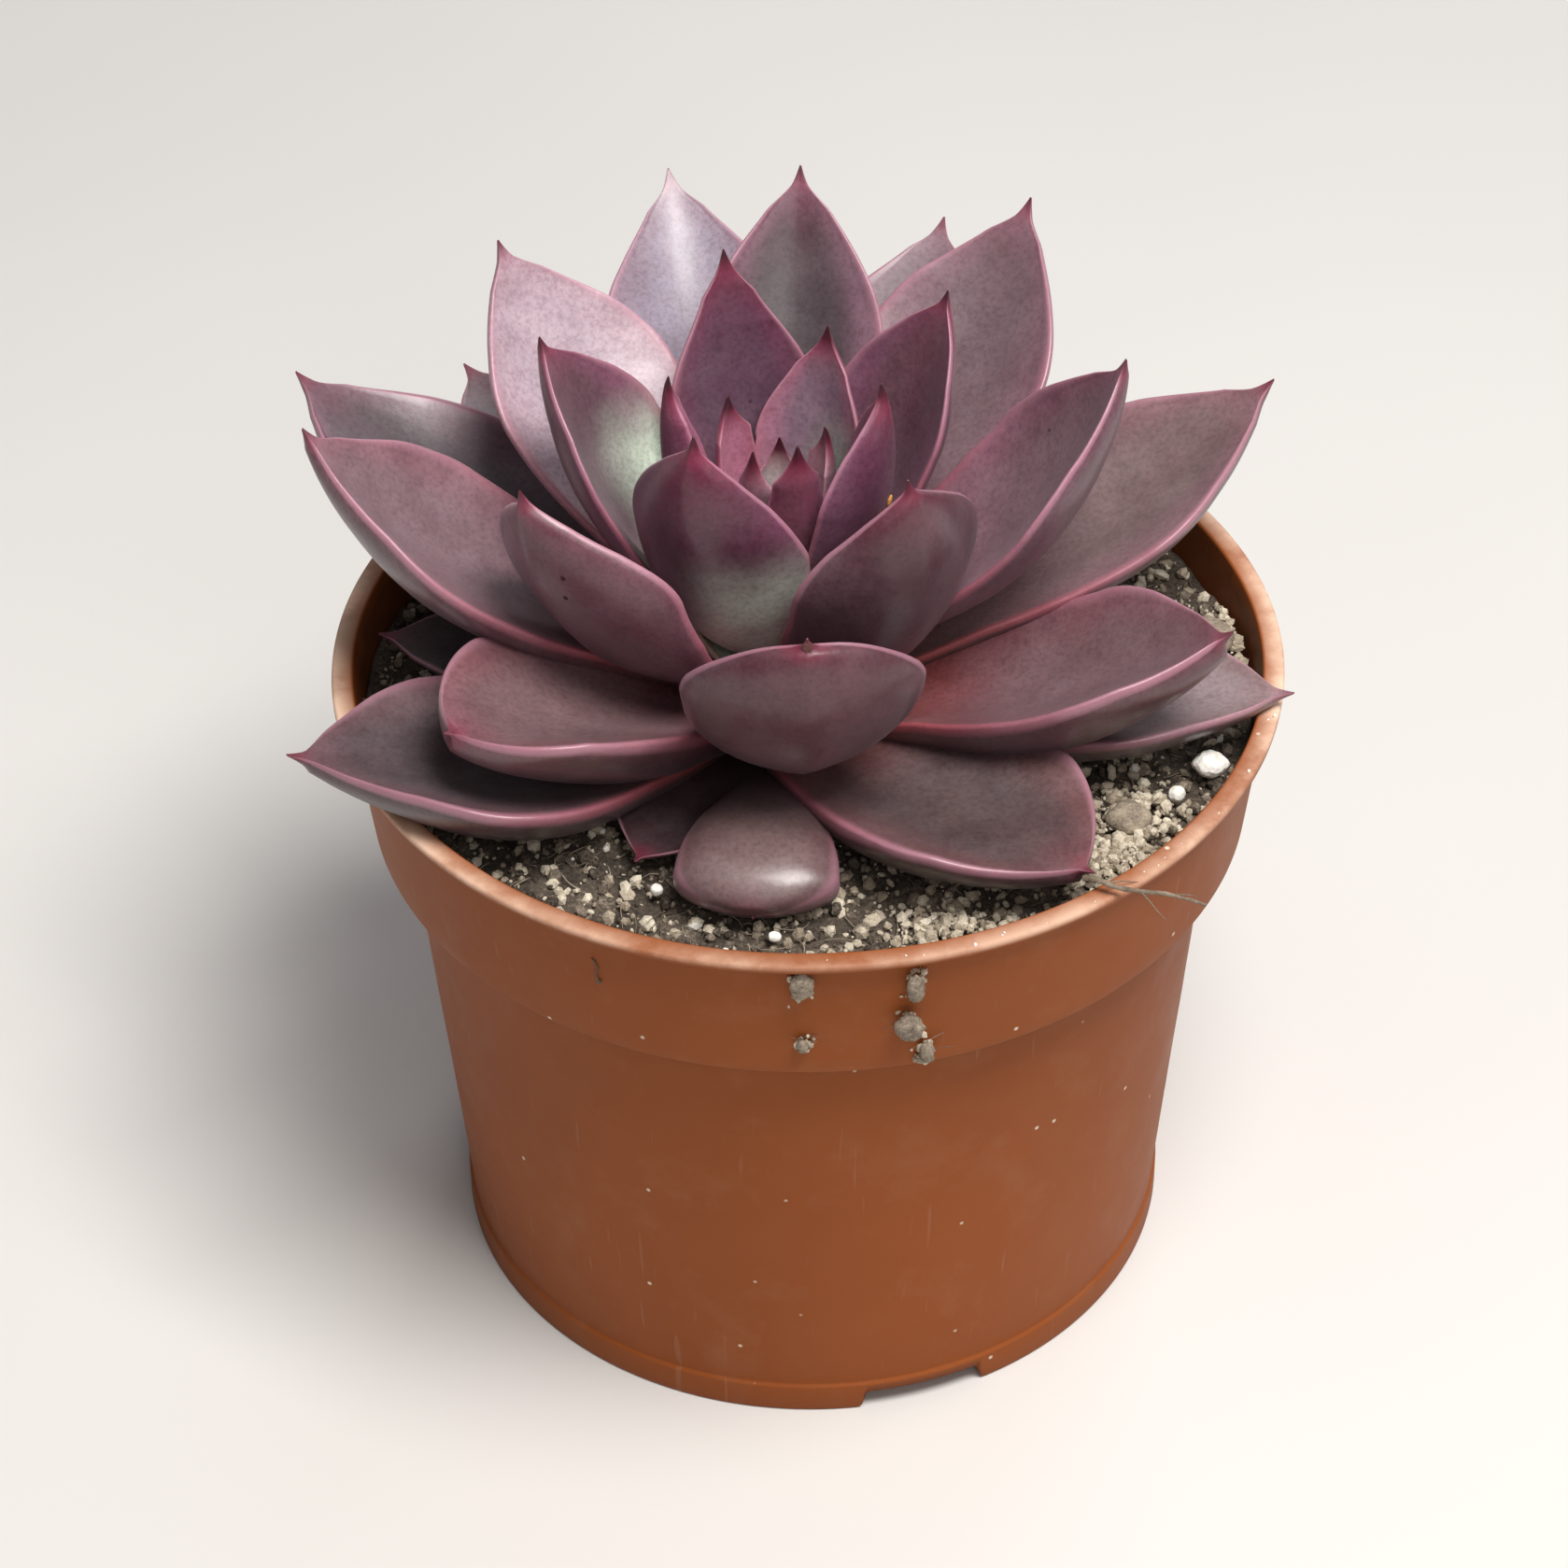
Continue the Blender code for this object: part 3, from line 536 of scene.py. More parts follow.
def make_pot(finish):
    """The pot turned about its axis: radius and height come from the profile, the wall bulges by a few
    hundredths of a millimetre, and three stretches of the foot ring are raised into notches."""
    profile = rounded_profile(pot_sections())
    turn = np.linspace(0, 360, POT_SIDES, endpoint=False)
    radius = np.repeat(profile[:, :1], POT_SIDES, axis=1)
    height = np.repeat(profile[:, 1:], POT_SIDES, axis=1)
    wave = rough(on_bearing(turn, 1.0)[None] * 30 + np.array((0, 0, 1)) * height[..., None], 22.0, 5)
    radius = radius + 0.10 * wave * ease(10, 40, radius)
    apart = 360 / NOTCHES
    off = np.abs((turn - NOTCH_BEARING + apart / 2) % apart - apart / 2) * math.pi / 180 * BODY_FOOT
    notch = NOTCH_DEEP * (1 - ease(NOTCH_HALF - 0.6, NOTCH_HALF + 0.6, off))
    low = (height < NOTCH_DEEP) & (radius > BODY_FOOT - 3.0)
    raised = notch[None, :] * ease(0.0, 1.0, 1.0 - height / 30)
    height = np.where(low, np.maximum(height, raised), height)
    points, faces = capped(on_bearing(turn[None, :], radius, height - TALL)[1:-1])
    points[-2:] = ((0, 0, profile[0, 1] - TALL), (0, 0, profile[-1, 1] - TALL))
    # Painted shade: a dark band in the corner just under the collar step.
    under = np.exp(-np.abs(height - (TALL - COLLAR_DEEP)) / 1.6) * (radius < COLLAR_FOOT - 0.2)
    inside = (radius < inner_radius(height) + 0.1) & (height > FLOOR_HIGH - 0.1)
    # Dirt darkens the foot towards the table, and the inside of the pot is darker all over.
    foot_dirt_and_inside_dark = 0.35 * np.exp(-height / 5.0) + 0.9 * inside
    grime = np.append((under + foot_dirt_and_inside_dark)[1:-1].ravel(), (0.6, 0.9))
    rubbed = ease(TALL - 1.0, TALL - 0.3, height) * ease(COLLAR_TOP - WALL, COLLAR_TOP, radius)
    # Painted highlight: the pale lip is made paler at the left and right than at the front.
    rubbed = rubbed * (0.4 + 0.6 * np.abs(np.sin(np.radians(turn))))
    rubbed = np.append(rubbed[1:-1].ravel(), (0.0, 0.0))
    drill_holes(piece("nursery_pot", points, faces, finish, "pot_plastic", ("pot",),
                      grime=grime, rubbed=rubbed))


def drill_holes(pot):
    """Cuts a ring of drain holes through the floor of the pot."""
    pins = []
    for bearing in range(0, 360, 360 // DRAIN_HOLES):
        spin = np.linspace(0, TAU, 32, endpoint=False)
        ring = np.stack((np.cos(spin), np.sin(spin), 0 * spin), -1) * DRAIN_RADIUS
        ring = ring + on_bearing(bearing, DRAIN_RING)
        pins.append(capped(np.stack((ring + (0, 0, -1.0 - TALL), ring + (0, 0, 8.0 - TALL)))))
    points, faces = merged(pins)
    drill = bpy.data.meshes.new("drill")
    drill.from_pydata((points * MM + PLACE).tolist(), [], faces)
    cutter = add("drill", drill)
    boolean = pot.modifiers.new("Drain holes", "BOOLEAN")
    boolean.operation = "DIFFERENCE"
    boolean.solver = "EXACT"
    boolean.object = cutter
    graph = bpy.context.evaluated_depsgraph_get()
    drilled = bpy.data.meshes.new_from_object(pot.evaluated_get(graph))
    pot.modifiers.clear()
    pot.data = drilled
    bpy.data.objects.remove(cutter)


# -------------------- the leaves


def stem_centre(height):
    """The stem's axis at a height: at APEX it is at the heart, and lower down it leans to the front."""
    return HEART + np.array((0.0, -LEAN * (APEX - height)))


def half_width(t, most, length, neck, widest, blunt):
    """Half width in mm. From the neck it swells as a quarter sine to the widest place, then rounds in.
    The last few millimetres join smoothly, by a sum of cubes, on to a hard point that opens as a
    parabola."""
    swell = neck + (1 - neck) * np.sin(math.pi / 2 * np.clip(t / widest, 0, 1)) ** 1.2
    past = np.clip((t - widest) / (1 - widest), 0, 1)
    shoulder = most * np.clip(1 - (past / 0.92) ** 2, 0, 1) ** blunt
    left = np.clip((1 - t) * length, 0, 5)
    point = 0.12 + 0.30 * left + 0.05 * left**2
    return np.where(t < widest, most * swell, (shoulder**3 + point**3) ** (1 / 3))


def leaf_surface(number, row):
    """The leaf as rings of points. Its midrib is a cubic curve in an upright plane. Each ring round it
    is a trough above, whose margins rise as a power of the distance from the midrib to a raised edge,
    and a full belly below, which a power below one makes rounder than an ellipse. Slow noise waves the
    margins."""
    bearing, reach, tip, base, width, thickness, start, end, cup, bow = row[:10]
    widest, blunt = OUTLINES.get(number, YOUNG if number <= LAST_YOUNG else GROWN)
    pull_start, pull_end, fade, above = FLESHES.get(number, FLESH)
    neck = BROAD.get(number, np.interp(number, (1, 12, 20, 38), (0.75, 0.62, 0.45, 0.32)))
    t = 1 - (1 - np.linspace(0, 1, LEAF_RINGS)) ** 1.4
    root = FEET.get(number, 1.4 + 0.17 * number)
    centre = stem_centre(base)
    point = HEART + on_bearing(bearing, reach)[:2]
    along = point - centre
    length = np.linalg.norm(along)
    along = along / length
    across = np.array((-along[1], along[0]))

    first, last = np.array((root, base)), np.array((length, tip))
    chord = np.linalg.norm(last - first)
    rise = np.array((math.cos(math.radians(start)), math.sin(math.radians(start))))
    close = np.array((math.cos(math.radians(end)), math.sin(math.radians(end))))
    second, third = first + pull_start * chord * rise, last - pull_end * chord * close
    s = t[:, None]
    midrib = (1 - s) ** 3 * first + 3 * (1 - s) ** 2 * s * second
    midrib = midrib + 3 * (1 - s) * s * s * third + s**3 * last
    slope = (1 - s) ** 2 * (second - first) + 2 * (1 - s) * s * (third - second)
    slope = unit(slope + s * s * (last - third))

    half = half_width(t, width / 2, chord, neck, widest, blunt)
    fill = (1 - np.clip((t - 0.4) / 0.6, 0, 1) ** 2) ** fade
    fill = np.interp(t, (0, 0.15, 0.4), (0.5, 0.7, 1)) * fill
    thick = np.minimum(thickness * fill, 1.5 * half)
    turn = np.linspace(0, TAU, LEAF_SIDES, endpoint=False)
    x, sine = np.cos(turn)[None, :], np.sin(turn)[None, :]
    upper = sine > 0
    rim = cup * np.interp(t, (0, 0.25, 0.8, 1), (0.3, 1, 1, 0.5)) * half
    lift = rim[:, None] * np.abs(x) ** 1.8
    belly = -(1 - above) * (np.abs(sine) ** 0.85 + 0.07 * np.exp(-((x / 0.16) ** 2)))
    lift = lift + thick[:, None] * np.where(upper, above * np.abs(sine) ** 0.7, belly)
    edge = np.exp(-(((np.abs(x) - 0.95) / 0.05) ** 2)) * upper
    lift = lift + 0.18 * edge * np.minimum(half, 6)[:, None] / 6
    place = np.stack((t * chord, 0 * t + 7 * number, 0 * t), -1)
    near, far = rough(place, 13.0, number), rough(place + (0, 0, 50), 13.0, number)
    flutter = np.where(x > 0, near[:, None], far[:, None]) * np.abs(x) ** 3
    lift = lift + 0.05 * half[:, None] * flutter
    side = half[:, None] * x * (1 + 0.035 * flutter) + (bow * 4 * t * (1 - t))[:, None]

    twist = math.radians(TWISTS.get(number, 0)) * ease(0.1, 0.8, t)[:, None]
    level, steep = np.cos(twist), np.sin(twist)
    side, lift = side * level - lift * steep, side * steep + lift * level
    out = midrib[:, :1] - slope[:, 1:] * lift
    height = midrib[:, 1:] + slope[:, :1] * lift
    flat = centre + out[..., None] * along + side[..., None] * across
    rings = np.concatenate((flat, height[..., None]), axis=-1)
    return rings, t, np.repeat(x, LEAF_RINGS, axis=0), upper


def make_leaf(number, row, finish):
    """One leaf. Its points carry where they lie along it, how near its margin and its hard point they
    are, and the colour of the flesh: foot, then flanks, with a dusky patch up the middle of the outer
    half."""
    rings, t, x, upper = leaf_surface(number, row)
    points, faces = capped(rings)
    along = np.repeat(t[:, None], LEAF_SIDES, axis=1)
    dusk, flank, foot = (np.array(linear(colour)) for colour in row[10:13])
    drift = 0.06 * rough(rings, 8.0, 60 + number)
    body = ease(0.02, 0.50, along + drift)[..., None]
    patch = ease(0.22, 0.55, along + drift) * (1 - ease(0.86, 0.97, along))
    patch = patch * (1 - ease(0.40, 0.88, np.abs(x) + drift))
    tint = foot + (flank - foot) * body
    tint = tint + (dusk - tint) * (patch * upper)[..., None]
    # Painted shade: the under face is darkened, most along the middle of the belly, on every leaf but
    # the bent one.
    under = (np.clip(1 - x**2, 0, 1) ** 0.12)[..., None] * UNDER_PAINTED_SHADE * (number != BENT)
    tint = np.where(upper[..., None], tint, tint * (1 - under))
    # Green flanks, lightened on leaves 12 and 14 by painted light.
    for side, colour in FLANKS.get(number, ()):
        start = -0.35 - 1.3 * (1 - ease(0.12, 0.45, along))
        cover = ease(start, start + 0.85, side * x + drift) * (1 - ease(0.40, 0.75, along + drift))
        tint = tint + (np.array(linear(colour)) - tint) * cover[..., None]
    to_point = np.linalg.norm(rings - rings[-1].mean(axis=0), axis=-1)
    reach = np.interp(number, (3, 9, 12, 20), (0.11, 0.16, 0.20, 0.14)) * to_point.max()
    flush = np.interp(number, (3, 12, 20), (0.95, 0.5, 0.15)) * np.exp(-((to_point / reach) ** 2))
    tint = tint + (np.array(linear("8A2446")) - tint) * flush[..., None]
    tint = np.vstack((tint.reshape(-1, 4), tint[0].mean(axis=0), tint[-1].mean(axis=0)))
    spine = np.exp(-((to_point / np.interp(number, (8, 15), (3.4, 2.3))) ** 2))
    spine = np.interp(number, (10, 20, 36), (1.0, 0.7, 0.5)) * spine
    edge = np.abs(x) ** np.where(upper, 1, 12)
    piece(f"succulent_leaf_{number:02d}", points, faces, finish, "leaf_flesh", (f"leaf_{number:02d}",),
          along=with_ends(along), edge=with_ends(edge), spine=with_ends(spine), tint=tint)


# -------------------- soil, stones and the stem


def soil_level(points):
    """Height of the soil over a place, in mm above the rim: lumps of 9 mm, 3 mm and 1 mm."""
    flat = np.stack((points[..., 0], points[..., 1], np.zeros(points.shape[:-1])), -1)
    lumps = SOIL - 0.8 + 1.1 * rough(flat, 9.0, 21)
    return lumps + 0.5 * rough(flat, 2.6, 22) + 0.25 * rough(flat, 0.9, 23)


def inner_radius(height):
    """The inside radius of the wall at a height above the table."""
    step = TALL - COLLAR_DEEP + WALL
    low = BODY_FOOT - WALL + (BODY_TOP - BODY_FOOT) * (height - FLOOR_HIGH) / (step - FLOOR_HIGH)
    high = COLLAR_FOOT - WALL + (COLLAR_TOP - COLLAR_FOOT) * (height - step) / COLLAR_DEEP
    return np.where(height > step, high, low)


def make_soil(finish):
    """The ball of peat: a polar grid whose top follows soil_level, then down the wall and back
    under."""
    sides = 420
    turn = np.linspace(0, 360, sides, endpoint=False)[None, :]
    edge = float(inner_radius(TALL + SOIL)) - 0.25
    reach = edge * np.linspace(0, 1, 130)[1:, None] ** 0.8
    top = on_bearing(turn, reach, 0.0)
    top[..., 2] = soil_level(top)
    step = TALL - COLLAR_DEEP + WALL
    down = [(float(inner_radius(h)) - 0.3, h - TALL) for h in (step + 4.0, step + 0.5)]
    down += [(float(inner_radius(h)) - 0.3, h - TALL) for h in (step - 0.2, 40.0, FLOOR_HIGH + 0.3)]
    under = np.stack([on_bearing(turn[0], r, z) for r, z in down])
    under = np.vstack((under, on_bearing(turn[0], 8.0, FLOOR_HIGH + 0.3 - TALL)[None]))
    rings = np.vstack((top, under))[::-1]
    points, faces = capped(rings)
    points[-1, 2] = soil_level(points[-1])
    shade = 0.26 + 0.24 * rough(points, 5.0, 31) + 0.16 * rough(points, 1.2, 32)
    piece("peat_soil", points, faces, finish, "potting_soil", ("soil",), shade=shade)


# Heaps of dry peat: bearing, distance from the pot's axis, spread and height, in degrees and mm.
HEAPS = [(47, 51.5, 6, 2.0), (55, 47.5, 7, 2.5), (98, 51.0, 8, 3.0), (20, 50.0, 7, 1.0)]
# Runs of soil dried on to the collar: bearing, and depths under the rim where each starts and ends, in
# mm.
RUNS = [(359, 2.0, 7.5), (359.2, 13.5, 15.8), (12.2, 3.0, 8.2), (11.3, 10.0, 15.0), (13.7, 15.5, 20.0)]
# The twelve corners of a regular solid of twenty triangles, at distance one.
ICO = np.array([(0, s, t) for s in (-1, 1) for t in (-1.618, 1.618)])
ICO = np.vstack((ICO, ICO[:, [2, 0, 1]], ICO[:, [1, 2, 0]])) / 1.902


def hull_faces(points):
    """The triangles of the convex solid on twelve corners, each turned outwards."""
    gaps = np.linalg.norm(points[:, None] - points[None], axis=-1)
    near = (gaps > 0.1) & (gaps < 1.1)
    faces = []
    for a, b, c in itertools.combinations(range(12), 3):
        if near[a, b] and near[b, c] and near[a, c]:
            across = np.cross(points[b] - points[a], points[c] - points[a])
            faces.append((a, b, c) if np.dot(across, points[a]) > 0 else (a, c, b))
    return np.array(faces)


def scatter(name, count, sizes, flatness, seed, finish, slot, shades, place):
    """Many small angular crumbs in one piece: each is the twelve-cornered solid with its corners pushed
    in and out, stretched, turned at random and laid at a place that place(random, count) gives."""
    chance = np.random.default_rng(seed)
    middle, ground = place(chance, count)
    size = sizes[0] + (sizes[1] - sizes[0]) * chance.random(count) ** 2.6
    shape = ICO[None] * (1 + 0.35 * (chance.random((count, 12, 1)) - 0.5))
    shape = shape * (0.5 * size[:, None, None] * (1 - flatness * chance.random((count, 1, 3))))
    turns = np.linalg.qr(chance.normal(size=(count, 3, 3)))[0]
    turns = turns * np.sign(np.linalg.det(turns))[:, None, None]
    shape = np.einsum("nij,nkj->nki", turns, shape)
    lift = -shape[..., 2].min(axis=1) * (1.0 - 1.3 * chance.random(count))
    points = shape + middle[:, None, :]
    points[..., 2] += (ground + lift)[:, None]
    faces = (hull_faces(ICO)[None] + 12 * np.arange(count)[:, None, None]).reshape(-1, 3)
    shade = shades[0] + (shades[1] - shades[0]) * chance.random(count) ** 1.25
    made = piece(name, points, faces.tolist(), finish, slot, shade=np.repeat(shade, 12))
    made.data.shade_flat()


def over_soil(chance, count):
    """Places spread evenly over the soil inside the wall, with the soil's height at each."""
    reach = (float(inner_radius(TALL + SOIL)) - 1.0) * np.sqrt(chance.random(count))
    at = on_bearing(360 * chance.random(count), reach)
    return at, soil_level(at)


def over_heaps(chance, count):
    """Places gathered in the heaps of dry peat at the wall, with each heap's height over the soil."""
    bearing, distance, spread, tall = np.array(HEAPS)[chance.integers(len(HEAPS), size=count)].T
    strewn = 0.5 * spread[:, None] * chance.normal(size=(count, 3)) * (1, 1, 0)
    at = on_bearing(bearing, distance) + strewn
    most = float(inner_radius(TALL + SOIL)) - 1.0
    far = np.linalg.norm(at[:, :2], axis=1)
    at = at * np.minimum(1.0, most / far)[:, None]
    gone = np.linalg.norm(at - on_bearing(bearing, distance), axis=1) / spread
    return at, soil_level(at) + tall * np.exp(-gone**2)


def on_lip(chance, count):
    """Places on the top of the lip, most of them at the right of the front."""
    at = on_bearing(40 + 22 * chance.normal(size=count), RIM - 1.2 + 0.8 * chance.random(count))
    return at, np.zeros(count)


def on_collar(chance, count):
    """Places in short ragged chains down the front of the collar, where wet soil has run and dried."""
    bearing, top, low = np.array(RUNS)[chance.integers(len(RUNS), size=count)].T
    deep = top + (low - top) * chance.random(count)
    bearing = bearing + 0.7 * chance.normal(size=count)
    wall = COLLAR_TOP - (COLLAR_TOP - COLLAR_FOOT) * deep / COLLAR_DEEP
    return on_bearing(bearing, wall + 0.1 + 0.5 * chance.random(count)), -deep


def fibres(name, count, length, thin, seed, finish, slot, place):
    """Short bent root hairs and peat fibres: three-sided tubes along parabolas that lie on the soil."""
    chance = np.random.default_rng(seed)
    middle, ground = place(chance, count)
    share = np.linspace(-0.5, 0.5, 7)[None, :, None]
    heading = unit(chance.normal(size=(count, 1, 3)) * (1, 1, 0.25))
    bend = chance.normal(size=(count, 1, 3)) * (1, 1, 0.5)
    long = (length[0] + (length[1] - length[0]) * chance.random(count) ** 2)[:, None, None]
    path = middle[:, None, :] + long * (share * heading + share**2 * bend)
    path[..., 2] += ground[:, None] + 0.25 + 0.35 * chance.random((count, 1))
    side = unit(np.cross(heading, (0, 0, 1.0)))
    lift = np.cross(side, heading)
    angle = np.arange(3) * TAU / 3
    girth = thin * (0.6 + 0.8 * chance.random((count, 1, 1, 1))) * (1 - 1.6 * share[..., None] ** 2)
    ring = np.cos(angle)[:, None] * side[:, :, None, :] + np.sin(angle)[:, None] * lift[:, :, None, :]
    points = path[:, :, None, :] + girth * ring
    quads = ring_faces(7, 3)
    one = np.vstack((quads[:, [0, 1, 2]], quads[:, [0, 2, 3]], ((0, 2, 1), (18, 19, 20))))
    faces = (one[None] + 21 * np.arange(count)[:, None, None]).reshape(-1, 3)
    shade = 0.35 + 0.6 * chance.random(count)
    piece(name, points, faces.tolist(), finish, slot, shade=np.repeat(shade, 21))


def ball(rows, sides):
    """The points and faces of a ball of radius one, its rings running up from the bottom."""
    polar = np.linspace(0, math.pi, rows)[1:-1, None]
    turn = np.linspace(0, TAU, sides, endpoint=False)[None, :]
    points, faces = capped(np.stack((np.sin(polar) * np.cos(turn), np.sin(polar) * np.sin(turn),
                                     -np.cos(polar) + 0 * turn), -1))
    points[-2:] = ((0, 0, -1.0), (0, 0, 1.0))
    return points, faces


def make_scabs(finish):
    """Old wounds healed over: low domes lying along the lower face of a leaf, half sunk into it."""
    for place, (number, share, off, radius, shade) in enumerate(SCARS, start=1):
        rings, t, x, upper = leaf_surface(number, LEAVES[number - 1])
        ring, side = np.abs(t - share).argmin(), np.where(upper[0], 9, np.abs(x[0] - off)).argmin()
        lengthwise = unit(rings[ring + 1, side] - rings[ring - 1, side])
        across = rings[ring, (side + 1) % LEAF_SIDES] - rings[ring, side - 1]
        out = unit(np.cross(lengthwise, across))
        points, faces = ball(14, 20)
        points = points * (1 + 0.25 * rough(2.0 * points, 1.2, 90 + place))[:, None]
        points = points * (1.0, 0.8, 0.35) * radius
        points = rings[ring, side] + points @ np.stack((lengthwise, np.cross(out, lengthwise), out))
        piece(f"leaf_scab_{place}", points, faces, finish, "leaf_flesh",
              shade=np.full(len(points), shade))


def lump(name, node_name, cell, depth, seed, finish, slot, shade=0.5):
    """A stone or a crumb in its solid's box: a ball pushed in and out by noise, stretched to the
    box."""
    low, high = (np.array(corner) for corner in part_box(node_name))
    middle, half = 0.5 * (low + high), 0.5 * (high - low)
    points, faces = ball(26, 36)
    size = half / MM
    dent = rough(points * size, cell, seed, 4)
    dent = dent + 0.6 * np.abs(rough(points * size, cell * 0.6, seed + 9, 3))
    points = points * (1 + depth * dent)[:, None]
    points = points / np.abs(points).max(axis=0)
    points = points * size + (middle - PLACE) / MM
    shades = shade + 0.25 * rough(points, 1.0, seed + 3)
    piece(name, points, faces, finish, slot, (node_name,), shade=shades)


def tube(path, girth, sides=10):
    """A tube along a path: rings of its own radius across the path's direction at each point."""
    heading = unit(np.gradient(path, axis=0))
    side = unit(np.cross(heading, (0.13, 0.05, 0.99)))
    lift = np.cross(side, heading)
    turn = np.linspace(0, TAU, sides, endpoint=False)
    ring = np.cos(turn)[:, None] * side[:, None, :] + np.sin(turn)[:, None] * lift[:, None, :]
    return path[:, None, :] + np.asarray(girth)[:, None, None] * ring


def smooth_path(points, count):
    """Points along a curve through the given ones (Catmull-Rom)."""
    points = np.asarray(points, float)
    padded = np.vstack((2 * points[0] - points[1], points, 2 * points[-1] - points[-2]))
    place = np.linspace(0, len(points) - 1 - 1e-9, count)
    i = place.astype(int)
    t = (place - i)[:, None]
    a, b, c, d = (padded[i + k] for k in range(4))
    bends = (2 * a - 5 * b + 4 * c - d) * t**2 + (3 * b - a - 3 * c + d) * t**3
    return 0.5 * (2 * b + (c - a) * t + bends)


def make_root(finish):
    """The dry root over the rim: a kinked tube of changing thickness with three fine side roots."""
    route = [(35.2, 56.2, 1.2), (36.2, 58.2, 1.6), (37.2, 60.2, 1.4), (38.8, 62.0, 1.1),
             (40.8, 64.0, 0.8), (42.4, 66.0, 0.2), (43.8, 67.6, -0.6)]
    main = smooth_path([on_bearing(*place) for place in route], 90)
    main = main + 0.18 * np.stack([rough(main, 1.6, 70 + axis) for axis in range(3)], -1)
    girth = 0.36 * (1 + 0.35 * rough(main, 1.1, 77)) * np.linspace(1.1, 0.55, 90)
    parts = [(main, girth)]
    for at, turn, long in ((20, 60, 5.0), (45, -50, 4.0), (66, 45, 3.5)):
        ahead = np.array(Matrix.Rotation(math.radians(turn), 3, "Z")) @ unit(main[at + 2] - main[at])
        share = np.linspace(0, 1, 24)[:, None]
        twig = main[at] + share * long * ahead + share**2 * np.array((0.4, -0.3, -0.8))
        kinks = np.stack([rough(twig, 1.2, 80 + at + axis) for axis in range(3)], -1)
        twig = twig + 0.15 * share * kinks
        parts.append((twig, np.linspace(0.12, 0.04, 24)))
    points, faces = merged(capped(tube(path, radius)) for path, radius in parts)
    shade = 0.55 + 0.3 * rough(points, 1.5, 90)
    piece("dry_root", points, faces, finish, "dry_root", ("root_thread",), shade=shade)


def make_hair(finish):
    """A fine root hair dried on to the collar at the left of the front, ending in a small bulb."""
    route = [(-26.5, RIM - 1.95, -5.4), (-25.9, RIM - 2.1, -6.8), (-26.2, RIM - 2.2, -8.2),
             (-25.8, RIM - 2.35, -9.4)]
    path = smooth_path([on_bearing(*place) for place in route], 40)
    girth = 0.10 + 0.22 * np.exp(-((np.linspace(0, 1, 40) - 0.95) / 0.06) ** 2)
    points, faces = capped(tube(path, girth))
    piece("collar_hair", points, faces, finish, "dry_root", shade=np.full(len(points), 0.3))


def make_stem(finish):
    """The short stem: rings that widen down to the soil and lean forward, ringed by old leaf scars."""
    height = np.linspace(-18.5, 11.6, 70)
    radius = 1.1 + 0.33 * (APEX - np.maximum(height, -6.5))
    radius = radius * np.where(height > 10.5, np.sqrt(np.clip((11.7 - height) / 1.2, 0.02, 1)), 1)
    radius = radius * (1 + 0.04 * np.sin(height * 4.2))
    radius = radius * np.interp(height, (-18.5, -12, 12), (0.5, 0.9, 1))
    turn = np.linspace(0, 360, 48, endpoint=False)
    rings = on_bearing(turn[None, :], radius[:, None], height[:, None])
    rings[..., 0] += HEART[0]
    rings[..., 1] += HEART[1] - (LEAN * (APEX - height))[:, None]
    rings = rings + 0.12 * rough(rings, 2.0, 95)[..., None] * (1, 1, 0)
    points, faces = capped(rings)
    shade = 0.5 + 0.25 * rough(points, 3.0, 96)
    piece("short_stem", points, faces, finish, "plant_stem", ("stem",), shade=shade)


# -------------------- light and view


def area_light(name, place, target, size, power, colour):
    """A soft square light that faces a point."""
    lamp = bpy.data.lights.new(name, "AREA")
    lamp.shape = "SQUARE"
    lamp.size = size
    lamp.energy = power
    lamp.color = linear(colour)[:3]
    made = add(name, lamp)
    made.location = place
    made.rotation_euler = (Vector(target) - Vector(place)).to_track_quat("-Z", "Y").to_euler()


def make_studio(finish):
    """The pale floor, the soft lights, the world and the camera."""
    mesh = bpy.data.meshes.new("studio_floor")
    across = np.linspace(-1.6, 1.6, 9)
    corners = np.stack(np.meshgrid(across, across), -1).reshape(-1, 2)
    first = (np.arange(8)[:, None] * 9 + np.arange(8)[None, :]).reshape(-1)
    quads = np.stack((first, first + 1, first + 10, first + 9), -1)
    mesh.from_pydata([(*corner, 0.0) for corner in corners.tolist()], [], quads.tolist())
    mesh.materials.append(finish)
    floor = add("studio_floor", mesh)
    middle = (0.0, 0.0, 0.09)
    area_light("key_softbox", (0.22, -0.28, 0.95), middle, 0.4, 11.5, "FFFCF8")
    area_light("front_softbox", (0.20, -0.85, 0.75), middle, 0.45, 1.8, "FFFAF6")
    area_light("left_fill", (-0.85, -0.05, 0.45), middle, 0.5, 0.3, "F6F8FF")
    area_light("right_fill", (0.85, -0.05, 0.45), middle, 0.5, 0.3, "FFF8F2")
    area_light("back_softbox", (0.35, 0.85, 0.70), middle, 0.5, 2.4, "FAFAFF")
    world = bpy.data.worlds.new("studio_world")
    world.use_nodes = True
    sky = world.node_tree.nodes["Background"]
    sky.inputs["Color"].default_value = linear("F2F2F4")
    sky.inputs["Strength"].default_value = 0.18
    bpy.context.scene.world = world
    bpy.context.scene.view_settings.view_transform = "Standard"

    lens = bpy.data.cameras.new("camera")
    lens.lens = 107.2
    lens.sensor_width = 36.0
    camera = add("camera", lens)
    camera.location = PLACE + np.array((0.0, -0.4640, 0.3636))
    yaw, pitch, roll = (Matrix.Rotation(math.radians(angle), 3, axis)
                        for angle, axis in ((0.396, "Z"), (50.27, "X"), (-0.80, "Z")))
    camera.rotation_euler = (yaw @ pitch @ roll).to_euler()
    bpy.context.scene.camera = camera


